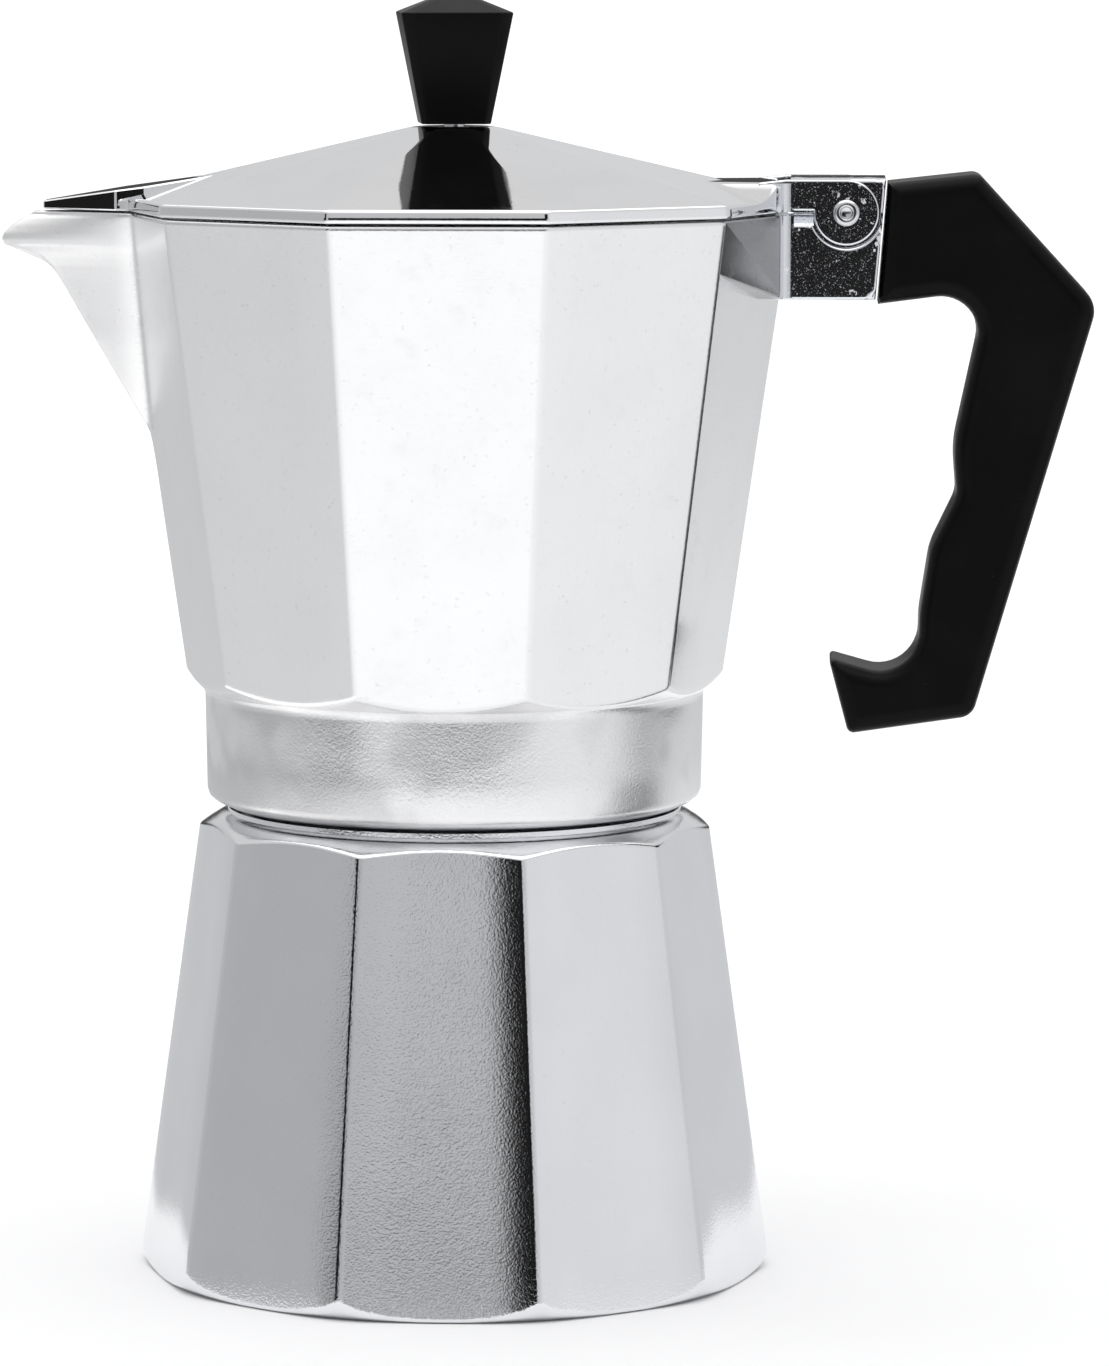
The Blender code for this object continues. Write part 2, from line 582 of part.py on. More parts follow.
def make_knob():
    """Tapered square knob with cut corners, held by a screw from under the lid."""
    def ring(width, cut, height):
        half = width / 2
        corners = [(half, half - cut), (half - cut, half), (-half + cut, half), (-half, half - cut),
                   (-half, -half + cut), (-half + cut, -half), (half - cut, -half), (half, -half + cut)]
        return [(x, y, height) for x, y in corners]

    knob = stacked("lid_knob", [ring(11.26, 1.0, KNOB_LOW), ring(18.2, 2.0, KNOB_EDGE),
                                ring(2.4, 0.3, KNOB_HIGH)], BLACK_PHENOLIC)
    knob.rotation_euler = (0.0, 0.0, math.radians(KNOB_TURN))
    round_edges(knob, 0.35, 2, 20.0)
    bore = [(0, 186), (3.4, 186), (3.4, 195.3), (0, 195.3)]
    combine(knob, turned("knob_bore", bore, None, SMALL_SEGMENTS), "DIFFERENCE")
    turned("knob_insert", [(2.0, 188.3), (3.1, 188.3), (3.1, 195.0), (2.0, 195.0)], BRASS, SMALL_SEGMENTS)
    turned("knob_washer", [(2.1, 184.6), (4.4, 184.6), (4.4, 185.4), (2.1, 185.4)], STEEL, 24)
    screw = turned("knob_screw", [(0, 182.2), (2.4, 182.2), (3.5, 183.0), (3.5, 184.3), (1.7, 184.3),
                                  (1.7, 194.2), (1.3, 194.7), (0, 194.7)], STEEL, SMALL_SEGMENTS)
    combine(screw, block("screw_slot", (-4.0, -0.4, 181.0), (4.0, 0.4, 183.1)), "DIFFERENCE")


def make_hinge_pin():
    """Tubular pin peened over outside the lid's ears."""
    reach = EAR_OUTER + GAP
    across = [(0.0, -reach - 0.6), (1.7, -reach - 0.6), (2.1, -reach - 0.3), (2.1, -reach),
              (PIN_RADIUS, -reach), (PIN_RADIUS, reach), (2.1, reach), (2.1, reach + 0.3),
              (1.7, reach + 0.6), (0.0, reach + 0.6)]
    pin = turned("hinge_pin", across, STEEL, SMALL_SEGMENTS)
    for name, end in (("pin_dimple_near", -1), ("pin_dimple_far", 1)):
        low, high = sorted((end * (reach - 1.0), end * (reach + 2.0)))
        dimple = turned(name, [(0, low), (0.9, low), (0.9, high), (0, high)], None, SMALL_SEGMENTS)
        dimple.parent = pin
        combine(pin, dimple, "DIFFERENCE")
    pin.location = (PIN_X * MM, 0.0, PIN_Z * MM)
    pin.rotation_euler = (math.radians(-90), 0.0, 0.0)


# ---------------------------------------------------------------- handle
# Corners of the handle's side view as (x, z, rounding radius), from the lug round the outside.
HANDLE_OUTLINE = [(70.4, 178.7, 0), (84.9, 180.3, 2.2), (104.2, 159.2, 4.5), (84.6, 92.25, 3.0),
                  (64.5, 89.3, 1.2), (61.2, 101.7, 0.6), (75.9, 97.6, 6.5), (75.9, 108.5, 22.0),
                  (77.6, 119.5, 12.0), (81.8, 128.3, 5.0), (81.2, 136.0, 20.0), (86.6, 161.5, 6.0),
                  (68.85, 159.2, 0)]


def make_handle():
    """Moulded handle with a hooked lower end and a tongue that fits the lug's socket."""
    handle = slab("handle", rounded_outline(HANDLE_OUTLINE), -HANDLE_HALF_WIDTH, HANDLE_HALF_WIDTH,
                  BLACK_PHENOLIC)
    round_edges(handle, 2.4, 3, 60.0)
    tongue = block("handle_tongue", (57.4, -TONGUE_HALF_WIDTH, 163.3), (74.0, TONGUE_HALF_WIDTH, 176.1))
    combine(handle, tongue, "UNION")
    combine(handle, pin_bar("tongue_pin_hole", PIN_HOLE_RADIUS, CUT_REACH), "DIFFERENCE")


def make_valve_axis():
    """Empty on the back side's face, with +Z pointing straight out of the boiler's wall."""
    axis = bpy.data.objects.new("valve_axis", None)
    bpy.context.scene.collection.objects.link(axis)
    axis.location = (0.0, boiler_corner(VALVE_HEIGHT) * INRADIUS * MM, VALVE_HEIGHT * MM)
    lean = math.atan(-BOILER_TAPER * INRADIUS)
    axis.rotation_euler = (-math.pi / 2 + lean, 0.0, 0.0)
    return axis


def main():
    clear_scene()
    valve_axis = make_valve_axis()
    make_boiler(valve_axis)
    make_valve(valve_axis)
    make_funnel()
    make_seal()
    make_collector()
    make_column()
    make_lid()
    make_knob()
    make_hinge_pin()
    make_handle()


main()
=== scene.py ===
"""Moka pot: the looks of a stovetop coffee maker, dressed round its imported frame.

Sizes are in millimetres and become metres when a mesh is made. The pot stands on the origin with
+Z up, +X towards the handle and -X towards the spout.
"""

from __future__ import annotations

import json
import logging
import math
from dataclasses import dataclass
from enum import Enum
from typing import Any, Sequence

import bmesh
import bpy
import numpy as np
from mathutils import Matrix, Vector
from mathutils.geometry import delaunay_2d_cdt

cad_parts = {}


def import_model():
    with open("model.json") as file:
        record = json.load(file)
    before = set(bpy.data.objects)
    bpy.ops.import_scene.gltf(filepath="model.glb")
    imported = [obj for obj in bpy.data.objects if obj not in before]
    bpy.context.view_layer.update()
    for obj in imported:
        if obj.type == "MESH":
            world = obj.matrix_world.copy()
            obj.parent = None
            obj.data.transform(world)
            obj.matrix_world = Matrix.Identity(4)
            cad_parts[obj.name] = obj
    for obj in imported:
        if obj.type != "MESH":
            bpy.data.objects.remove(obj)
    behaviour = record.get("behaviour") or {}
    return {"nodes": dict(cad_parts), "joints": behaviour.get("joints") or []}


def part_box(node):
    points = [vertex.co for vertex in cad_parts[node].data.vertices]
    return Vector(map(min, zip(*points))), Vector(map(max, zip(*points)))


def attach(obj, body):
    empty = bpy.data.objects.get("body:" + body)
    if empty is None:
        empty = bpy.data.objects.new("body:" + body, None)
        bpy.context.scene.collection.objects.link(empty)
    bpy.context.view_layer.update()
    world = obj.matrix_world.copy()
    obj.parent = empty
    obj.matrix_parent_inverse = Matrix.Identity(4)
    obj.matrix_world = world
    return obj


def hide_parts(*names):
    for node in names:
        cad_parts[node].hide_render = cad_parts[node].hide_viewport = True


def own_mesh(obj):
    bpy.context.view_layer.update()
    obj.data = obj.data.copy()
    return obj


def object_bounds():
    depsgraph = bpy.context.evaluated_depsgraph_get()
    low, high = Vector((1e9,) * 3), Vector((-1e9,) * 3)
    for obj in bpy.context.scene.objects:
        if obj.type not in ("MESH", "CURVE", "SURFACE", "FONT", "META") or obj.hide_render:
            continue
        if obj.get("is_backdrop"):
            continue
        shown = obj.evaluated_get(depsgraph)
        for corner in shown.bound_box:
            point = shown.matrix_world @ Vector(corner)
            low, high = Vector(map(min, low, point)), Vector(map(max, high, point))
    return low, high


log = logging.getLogger("moka_pot")

MM = 0.001
SIDES = 10
SIDE_ANGLE = 36.0
INRADIUS = math.cos(math.radians(SIDE_ANGLE / 2))

Profile = Sequence[tuple[float, float]]
Outline = list[tuple[float, float]]
Point = tuple[float, float, float]


class Slot(Enum):
    """The record's material slot names."""

    CAST = "cast_aluminium"
    POLISHED = "polished_aluminium"
    SPUN = "spun_aluminium"
    STEEL = "steel"
    BRASS = "brass"
    RUBBER = "white_rubber"
    PHENOLIC = "black_phenolic"


class Body(Enum):
    """The bodies that pieces ride on."""

    BASE = "base"
    PLUNGER = "plunger"
    SEAL = "seal"
    UPPER = "upper"
    COVER = "cover"


# ---------------------------------------------------------------- shader maths
class Value:
    """A shader socket that can be used in Python expressions."""

    def __init__(self, graph: "Graph", socket: bpy.types.NodeSocket) -> None:
        """Wrap one output socket of a graph."""
        self.graph = graph
        self.socket = socket

    def _math(self, operation: str, first: Any, second: Any = 0.0) -> "Value":
        """Add one Math node and return its result."""
        return self.graph.add("ShaderNodeMath", {"operation": operation}, {0: first, 1: second})

    def __add__(self, other: Any) -> "Value":
        """self + other."""
        return self._math("ADD", self, other)

    __radd__ = __add__

    def __mul__(self, other: Any) -> "Value":
        """self * other."""
        return self._math("MULTIPLY", self, other)

    __rmul__ = __mul__

    def __sub__(self, other: Any) -> "Value":
        """self - other."""
        return self._math("SUBTRACT", self, other)

    def __rsub__(self, other: Any) -> "Value":
        """other - self."""
        return self._math("SUBTRACT", other, self)

    def __truediv__(self, other: Any) -> "Value":
        """self / other."""
        return self._math("DIVIDE", self, other)

    def power(self, exponent: Any) -> "Value":
        """self raised to an exponent."""
        return self._math("POWER", self, exponent)

    def band(self, low: float, high: float) -> "Value":
        """Rise smoothly from 0 at low to 1 at high."""
        return self.graph.add("ShaderNodeMapRange", {"interpolation_type": "SMOOTHSTEP"},
                              {"Value": self, "From Min": low, "From Max": high})


class Graph:
    """One node tree, built one node at a time."""

    def __init__(self, tree: bpy.types.NodeTree) -> None:
        """Work in a tree."""
        self.tree = tree

    def node(self, kind: str, settings: dict[str, Any] | None = None,
             inputs: dict[Any, Any] | None = None) -> bpy.types.Node:
        """Add a node.

        Args:
            kind: the node's type.
            settings: its own settings, set first; a ramp's stops go under "stops".
            inputs: a number, a colour, a socket or a Value for each input.

        Returns:
            The new node.
        """
        made = self.tree.nodes.new(kind)
        for name, value in (settings or {}).items():
            if name == "stops":
                self._set_stops(made.color_ramp, value)
            else:
                setattr(made, name, value)
        for name, value in (inputs or {}).items():
            if isinstance(value, Value):
                self.tree.links.new(value.socket, made.inputs[name])
            elif isinstance(value, bpy.types.NodeSocket):
                self.tree.links.new(value, made.inputs[name])
            else:
                made.inputs[name].default_value = value
        return made

    def add(self, kind: str, settings: dict[str, Any] | None = None,
            inputs: dict[Any, Any] | None = None, output: Any = 0) -> Value:
        """Add a node and return one of its outputs, with the arguments of node."""
        return Value(self, self.node(kind, settings, inputs).outputs[output])

    @staticmethod
    def _set_stops(ramp: bpy.types.ColorRamp, stops: Sequence[tuple[float, Any]]) -> None:
        """Give a colour ramp its stops."""
        while len(ramp.elements) < len(stops):
            ramp.elements.new(1.0)
        for element, (place, colour) in zip(ramp.elements, stops):
            element.position = place
            element.color = colour

    def noise(self, place: Value, size: float, detail: float = 2.0, seed: float = 0.0) -> Value:
        """Noise from 0 to 1 whose blobs are about size millimetres across."""
        return self.add("ShaderNodeTexNoise", {"noise_dimensions": "4D"},
                        {"Vector": place, "W": seed, "Scale": 1.0 / (size * MM), "Detail": detail})

    def axes(self, place: Value) -> tuple[Value, ...]:
        """The x, y and z of a position."""
        split = self.node("ShaderNodeSeparateXYZ", None, {0: place})
        return tuple(Value(self, socket) for socket in split.outputs)

    def bump(self, height: Value, depth: float, strength: float = 1.0) -> Value:
        """A normal bent by a height; a rise of 1 stands for the depth in millimetres."""
        return self.add("ShaderNodeBump", None,
                        {"Strength": strength, "Distance": depth * MM, "Height": height})

    def colour_mix(self, factor: Value, first: Any, second: Any) -> Value:
        """Mix two colours."""
        made = self.node("ShaderNodeMix", {"data_type": "RGBA"}, {0: factor, 6: first, 7: second})
        return Value(self, made.outputs[2])


def rgb(red: float, green: float, blue: float) -> tuple[float, float, float, float]:
    """An opaque colour."""
    return (red, green, blue, 1.0)


def grey(tone: float) -> tuple[float, float, float, float]:
    """A grey."""
    return rgb(tone, tone, tone)


def scaled(colour: Sequence[float], factor: float, lift: float = 0.0) -> tuple[float, float, float, float]:
    """A colour made darker or lighter by a factor and then raised."""
    return rgb(*[min(1.0, c * factor + lift) for c in colour[:3]])


@dataclass(frozen=True)
class Finish:
    """A finish made of a Principled shader; subclasses say what varies over the surface."""

    name: str
    colour: tuple[float, float, float, float]
    roughness: float

    def build(self) -> bpy.types.Material:
        """Return the finished material."""
        made = bpy.data.materials.new(self.name)
        made.use_nodes = True
        graph = Graph(made.node_tree)
        shader = made.node_tree.nodes["Principled BSDF"]
        place = graph.add("ShaderNodeTexCoord", output="Object")
        for name, value in self.sockets(graph, place).items():
            if isinstance(value, Value):
                made.node_tree.links.new(value.socket, shader.inputs[name])
            else:
                shader.inputs[name].default_value = value
        return made

    def sockets(self, graph: Graph, place: Value) -> dict[str, Any]:
        """The shader's inputs by name."""
        raise NotImplementedError


@dataclass(frozen=True)
class MetalFinish(Finish):
    """Bare metal with a grain, soft patches and, where it was turned, fine rings."""

    grain_size: float = 0.5
    grain_depth: float = 0.010
    patch_size: float = 14.0
    patch_strength: float = 0.10
    roughness_spread: float = 0.12
    ring_pitch: float = 0.0
    ring_depth: float = 0.0
    speck_strength: float = 0.25
    frosted_below: float = -1.0
    frost_roughness: float = 0.10
    stain_strength: float = 0.55
    satin_span: tuple[float, float] = (-56.0, -50.0)
    satin_roughness: float = 0.34

    def sockets(self, graph: Graph, place: Value) -> dict[str, Any]:
        """The shader's inputs by name."""
        grain = graph.noise(place, self.grain_size, 3.0, 1.0)
        pits = graph.noise(place, self.grain_size * 1.6, 2.0, 5.0).band(0.62, 0.78)
        patches = graph.noise(place, self.patch_size, 3.0, 9.0)
        scuffs = graph.noise(place, self.patch_size * 0.22, 4.0, 14.0).band(0.52, 0.78)
        darker = scaled(self.colour, 1.0 - self.patch_strength)
        base = graph.colour_mix(patches.band(0.35, 0.70), self.colour, darker)
        base = graph.colour_mix(pits * 0.6, base, scaled(self.colour, 1.0 - self.speck_strength))
        rough = self.roughness + patches * self.roughness_spread + scuffs * 0.06 - 0.06
        height = grain + patches * 0.12
        if self.frosted_below > 0:
            x, _, z = graph.axes(place)
            frost = 1.0 - z.band((self.frosted_below - 1.0) * MM, (self.frosted_below + 1.0) * MM)
            satin = 1.0 - x.band(self.satin_span[0] * MM, self.satin_span[1] * MM)
            stains = graph.noise(place, 16.0, 2.0, 33.0).band(0.44, 0.60)
            rough = rough + frost * self.frost_roughness + satin * self.satin_roughness
            height = height + frost * grain * 1.2
            base = graph.colour_mix(frost * stains * self.stain_strength, base, rgb(0.56, 0.56, 0.565))
        if self.ring_depth > 0:
            height = height + self.rings(graph, place) * (self.ring_depth / self.grain_depth)
        return {"Base Color": base, "Roughness": rough, "Metallic": 1.0,
                "Normal": graph.bump(height, self.grain_depth)}

    def rings(self, graph: Graph, place: Value) -> Value:
        """Turning marks: ridges round the Z axis, one for each ring_pitch of height and radius."""
        x, y, z = graph.axes(place)
        radius = (x * x + y * y).power(0.5)
        steps = (radius + z) * (math.tau / (self.ring_pitch * MM))
        wobble = graph.noise(place, 3.0, 2.0, 21.0)
        return graph.add("ShaderNodeMath", {"operation": "SINE"}, {0: steps}) * (0.4 + wobble * 0.6)


@dataclass(frozen=True)
class WornFinish(Finish):
    """Bright metal, rubbed and nicked: small rough flecks on a mirror."""

    relief: float = 0.012
    worn_roughness: float = 0.42

    def sockets(self, graph: Graph, place: Value) -> dict[str, Any]:
        """The shader's inputs by name."""
        ripple = graph.noise(place, 2.2, 2.0, 1.0)
        flecks = graph.noise(place, 0.26, 4.0, 6.0).band(0.58, 0.72)
        nicks = graph.noise(place, 1.3, 5.0, 8.0).band(0.65, 0.70)
        worn = (flecks * 0.34 + nicks).band(0.0, 1.0)
        base = graph.colour_mix(worn, self.colour, rgb(0.93, 0.93, 0.94))
        height = ripple + flecks * 0.35 + nicks * 0.5
        return {"Base Color": base, "Roughness": self.roughness + worn * self.worn_roughness,
                "Metallic": 1.0, "Normal": graph.bump(height, self.relief)}


@dataclass(frozen=True)
class MouldedFinish(Finish):
    """Black phenolic: a soft sheen with faint flow marks and tiny light specks."""

    speck_size: float = 0.55
    texture_depth: float = 0.012

    def sockets(self, graph: Graph, place: Value) -> dict[str, Any]:
        """The shader's inputs by name."""
        cloud = graph.noise(place, 16.0, 3.0, 3.0)
        skin = graph.noise(place, 0.8, 3.0, 7.0)
        specks = graph.noise(place, self.speck_size, 1.0, 11.0).band(0.80, 0.88)
        base = graph.colour_mix(cloud.band(0.4, 0.75), self.colour, scaled(self.colour, 1.6, 0.0006))
        base = graph.colour_mix(specks, base, rgb(0.16, 0.15, 0.15))
        handled = graph.noise(place, 6.0, 4.0, 17.0).band(0.50, 0.80)
        rough = self.roughness + cloud * 0.10 + handled * 0.10
        height = skin * 0.6 + cloud * 0.8
        return {"Base Color": base, "Roughness": rough, "Metallic": 0.0,
                "Normal": graph.bump(height, self.texture_depth), "Specular IOR Level": 0.10}


@dataclass(frozen=True)
class RubberFinish(Finish):
    """Off-white rubber with a matt skin."""

    def sockets(self, graph: Graph, place: Value) -> dict[str, Any]:
        """The shader's inputs by name."""
        cloud = graph.noise(place, 7.0, 3.0, 2.0)
        skin = graph.noise(place, 0.5, 2.0, 4.0)
        stained = rgb(0.70, 0.62, 0.50)
        base = graph.colour_mix(cloud.band(0.5, 0.8) * 0.5, self.colour, stained)
        return {"Base Color": base, "Roughness": self.roughness + cloud * 0.15,
                "Normal": graph.bump(skin, 0.02, 0.8)}


class Finishes:
    """Every finish of the pot, built once."""

    def __init__(self) -> None:
        """Build the materials."""
        self.boiler = MetalFinish("cast_boiler", rgb(0.86, 0.865, 0.885), 0.10, grain_size=0.36,
                                  grain_depth=0.024, patch_strength=0.03, roughness_spread=0.04,
                                  speck_strength=0.10).build()
        self.collector = MetalFinish("cast_collector", rgb(0.88, 0.88, 0.885), 0.22, grain_size=0.38,
                                     grain_depth=0.024, patch_strength=0.02, roughness_spread=0.05,
                                     speck_strength=0.20, frosted_below=96.0).build()
        # The shoulders are the collector's cast aluminium painted dark grey: this is painted shade for the
        # darker tone the light gives their sides.
        self.shoulder = MetalFinish("shoulder_painted_shade", rgb(0.46, 0.46, 0.465), 0.24, grain_size=0.38,
                                    grain_depth=0.020, patch_strength=0.15).build()
        self.neck = MetalFinish("turned_neck", rgb(0.82, 0.82, 0.84), 0.16, grain_depth=0.006,
                                ring_pitch=0.35, ring_depth=0.006).build()
        self.lid = MetalFinish("polished_lid", rgb(0.90, 0.90, 0.91), 0.07, grain_size=0.5,
                               grain_depth=0.005, patch_strength=0.04, roughness_spread=0.06).build()
        self.hinge = WornFinish("hinge_metal", rgb(0.80, 0.81, 0.84), 0.08).build()
        self.spun = MetalFinish("spun_sheet", rgb(0.84, 0.85, 0.86), 0.22, grain_depth=0.006,
                                ring_pitch=0.5, ring_depth=0.008).build()
        self.steel = MetalFinish("bright_steel", rgb(0.70, 0.70, 0.72), 0.14, grain_depth=0.006).build()
        self.brass = MetalFinish("machined_brass", rgb(0.80, 0.62, 0.30), 0.18, grain_depth=0.008,
                                 patch_strength=0.2).build()
        self.copper = MetalFinish("soft_copper", rgb(0.85, 0.50, 0.36), 0.25, patch_strength=0.25).build()
        self.rubber = RubberFinish("white_rubber_skin", rgb(0.84, 0.82, 0.76), 0.55).build()
        self.phenolic = MouldedFinish("moulded_phenolic", rgb(0.0022, 0.0022, 0.0024), 0.30).build()


# ---------------------------------------------------------------- mesh building
def placed(name: str, data: Any) -> bpy.types.Object:
    """A new object in the scene."""
    made = bpy.data.objects.new(name, data)
    bpy.context.scene.collection.objects.link(made)
    return made


def shaded(mesh: bpy.types.Mesh, sharp_angle: float = 35.0) -> bpy.types.Mesh:
    """Shade a mesh smooth, with its creases over so many degrees kept sharp."""
    mesh.shade_smooth()
    mesh.set_sharp_from_angle(angle=math.radians(sharp_angle))
    return mesh


def add_piece(name: str, mesh: bpy.types.Mesh, material: bpy.types.Material, body: Body,
              replaced: Sequence[str] = ()) -> bpy.types.Object:
    """Put a finished mesh in the scene and tell the frame about it.

    Args:
        name: the piece's name.
        mesh: its mesh, already in place.
        material: its finish.
        body: the body that it rides on.
        replaced: the CAD nodes that it stands for.

    Returns:
        The new object.
    """
    mesh.name = name
    mesh.materials.clear()
    mesh.materials.append(material)
    piece = placed(name, mesh)
    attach(piece, body.value)
    if replaced:
        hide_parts(*replaced)
    log.info("%s: %d faces on %s", name, len(mesh.polygons), body.value)
    return piece


def finished_mesh(bm: bmesh.types.BMesh, sharp_angle: float = 35.0) -> bpy.types.Mesh:
    """Turn a bmesh into a smooth-shaded mesh with outward normals and sharp creases."""
    bmesh.ops.recalc_face_normals(bm, faces=bm.faces)
    mesh = bpy.data.meshes.new("mesh")
    bm.to_mesh(mesh)
    bm.free()
    return shaded(mesh, sharp_angle)


def loop_mesh(columns: np.ndarray, closed_profile: bool, sharp_angle: float = 35.0) -> bpy.types.Mesh:
    """Join columns of points round the Z axis into a closed mesh.

    Args:
        columns: an array of (column, point, xyz) in millimetres, in order round the axis.
        closed_profile: True if each column is a closed loop, False if both its ends are on the axis.
        sharp_angle: creases over this many degrees stay sharp.

    Returns:
        The mesh.
    """
    count, points, _ = columns.shape
    index = np.arange(count * points).reshape(count, points)
    right = np.roll(index, -1, axis=0)
    if closed_profile:
        index = np.concatenate([index, index[:, :1]], axis=1)
        right = np.concatenate([right, right[:, :1]], axis=1)
    quads = np.stack([index[:, :-1], right[:, :-1], right[:, 1:], index[:, 1:]], axis=-1).reshape(-1, 4)
    mesh = bpy.data.meshes.new("loops")
    mesh.from_pydata((columns.reshape(-1, 3) * MM).tolist(), [], quads.tolist())
    bm = bmesh.new()
    bm.from_mesh(mesh)
    bpy.data.meshes.remove(mesh)
    bmesh.ops.remove_doubles(bm, verts=bm.verts, dist=1e-7)
    return finished_mesh(bm, sharp_angle)


def round_corners(profile: Profile, radius: float, steps: int = 3, closed: bool = True) -> Outline:
    """Ease the corners of an outline with short arcs.

    Args:
        profile: the outline's (across, up) corners.
        radius: how far each arc reaches along the sides; short sides take a third of their length.
        steps: straight steps in each arc.
        closed: whether the last corner joins the first.

    Returns:
        The outline with its corners rounded.
    """
    eased: Outline = []
    total = len(profile)
    for i, corner in enumerate(profile):
        if not closed and i in (0, total - 1):
            eased.append(tuple(corner))
            continue
        here = Vector(corner)
        before = Vector(profile[i - 1]) - here
        after = Vector(profile[(i + 1) % total]) - here
        reach = min(radius, before.length / 3, after.length / 3)
        start = here + before.normalized() * reach
        end = here + after.normalized() * reach
        for k in range(steps + 1):
            t = k / steps
            eased.append(tuple(start * (1 - t) ** 2 + here * (2 * t * (1 - t)) + end * t ** 2))
    return eased


def turned(profile: Profile, segments: int = 96, edge: float = 0.15,
           axis: Matrix | None = None) -> bpy.types.Mesh:
    """Turn an outline about the Z axis.

    Args:
        profile: (radius, height) corners; both ends on the axis, or a closed ring off it.
        segments: facets round the axis.
        edge: size of the eased corners.
        axis: where the turned shape's own axis goes; None for the Z axis.

    Returns:
        The mesh.
    """
    closed = profile[0][0] > 0
    eased = round_corners(profile, edge, 2, closed)
    angles = np.arange(segments) * math.tau / segments
    r = np.array([p[0] for p in eased])
    z = np.array([p[1] for p in eased])
    columns = np.stack([np.outer(np.cos(angles), r), np.outer(np.sin(angles), r),
                        np.tile(z, (segments, 1))], axis=-1)
    mesh = loop_mesh(columns, closed, 30.0)
    if axis is not None:
        mesh.transform(axis)
    return mesh


def lofted(rings: Sequence[Sequence[Point]]) -> bmesh.types.BMesh:
    """Join matching rings of points, in millimetres, into one closed body."""
    bm = bmesh.new()
    rows = [[bm.verts.new([c * MM for c in point]) for point in ring] for ring in rings]
    for lower, upper in zip(rows, rows[1:]):
        for i in range(len(lower)):
            bm.faces.new((lower[i - 1], lower[i], upper[i], upper[i - 1]))
    bm.faces.new(rows[0])
    bm.faces.new(rows[-1])
    bmesh.ops.recalc_face_normals(bm, faces=bm.faces)
    return bm


def slab(outline: Profile, low: float, high: float) -> bmesh.types.BMesh:
    """Extrude an (x, z) outline between two y values."""
    return lofted([[(x, y, z) for x, z in outline] for y in (low, high)])


def hull(points: Sequence[Point]) -> bmesh.types.BMesh:
    """The convex body round some points, in millimetres."""
    bm = bmesh.new()
    for point in points:
        bm.verts.new([c * MM for c in point])
    wrapped = bmesh.ops.convex_hull(bm, input=bm.verts)
    spare = [v for v in wrapped["geom_interior"] if isinstance(v, bmesh.types.BMVert)]
    bmesh.ops.delete(bm, geom=spare, context="VERTS")
    bmesh.ops.dissolve_limit(bm, angle_limit=math.radians(0.5), verts=bm.verts, edges=bm.edges)
    return bm


def bevelled(bm: bmesh.types.BMesh, width: float, segments: int, angle: float = 50.0) -> bmesh.types.BMesh:
    """Round the edges of a bmesh that are sharper than an angle, in place."""
    edges = [e for e in bm.edges if len(e.link_faces) == 2 and e.calc_face_angle() > math.radians(angle)]
    bmesh.ops.bevel(bm, geom=edges, offset=width * MM, offset_type="OFFSET", segments=segments,
                    profile=0.5, affect="EDGES", clamp_overlap=True)
    return bm


def joined(parts: Sequence[bmesh.types.BMesh], sharp_angle: float = 35.0) -> bpy.types.Mesh:
    """Join several closed bodies into one mesh."""
    whole = bmesh.new()
    for part in parts:
        bmesh.ops.recalc_face_normals(part, faces=part.faces)
        held = bpy.data.meshes.new("part")
        part.to_mesh(held)
        part.free()
        whole.from_mesh(held)
        bpy.data.meshes.remove(held)
    mesh = bpy.data.meshes.new("joined")
    whole.to_mesh(mesh)
    whole.free()
    return shaded(mesh, sharp_angle)


def arc(centre: tuple[float, float], radius: float, start: float, end: float, steps: int) -> Outline:
    """Points on a circle from one angle to another, in degrees."""
    spread = np.radians(np.linspace(start, end, steps + 1))
    return [(centre[0] + radius * math.cos(a), centre[1] + radius * math.sin(a)) for a in spread]


def rounded_outline(corners: Sequence[Point], steps: int) -> Outline:
    """Replace each (x, z, radius) corner by an arc that touches both of its sides."""
    outline: Outline = []
    for i, (x, z, radius) in enumerate(corners):
        here = Vector((x, z))
        before = Vector(corners[i - 1][:2]) - here
        after = Vector(corners[(i + 1) % len(corners)][:2]) - here
        if radius == 0:
            outline.append((x, z))
            continue
        half = before.angle(after) / 2
        reach = radius / math.tan(half)
        start = here + before.normalized() * reach
        middle = here + (before.normalized() + after.normalized()).normalized() * radius / math.sin(half)
        sweep = (start - middle).angle_signed(here + after.normalized() * reach - middle)
        for k in range(steps + 1):
            turn = Matrix.Rotation(-sweep * k / steps, 2)
            outline.append(tuple(middle + turn @ (start - middle)))
    return outline


def soft_min(a: np.ndarray, b: np.ndarray, blend: float) -> np.ndarray:
    """The smaller of two surfaces, with a rounded edge where they meet."""
    share = np.clip(0.5 + 0.5 * (b - a) / blend, 0.0, 1.0)
    return b * (1 - share) + a * share - blend * share * (1 - share)


def soft_max(a: np.ndarray, b: np.ndarray, blend: float) -> np.ndarray:
    """The larger of two surfaces, with a hollow rounding where they meet."""
    return -soft_min(-a, -b, blend)


def side_radius(angle: np.ndarray, inradius: np.ndarray, blend: float, crown: float = 0.0) -> np.ndarray:
    """Distance from the axis to a ten-sided wall.

    Args:
        angle: direction in degrees.
        inradius: distance to the middle of the flat sides.
        blend: size of the rounding over the corners.
        crown: how far the sides fall away towards their corners.

    Returns:
        The distance.
    """
    within = np.mod(angle, SIDE_ANGLE)
    from_corner = inradius * np.radians(np.minimum(within, SIDE_ANGLE - within))
    inradius = inradius - crown * np.clip(1.0 - from_corner / 7.0, 0.0, 1.0) ** 2
    left = inradius / np.cos(np.radians(within - SIDE_ANGLE / 2))
    right = inradius / np.cos(np.radians(within + SIDE_ANGLE / 2))
    beyond = inradius / np.cos(np.radians(within - 1.5 * SIDE_ANGLE))
    return soft_min(soft_min(left, right, blend), beyond, blend)


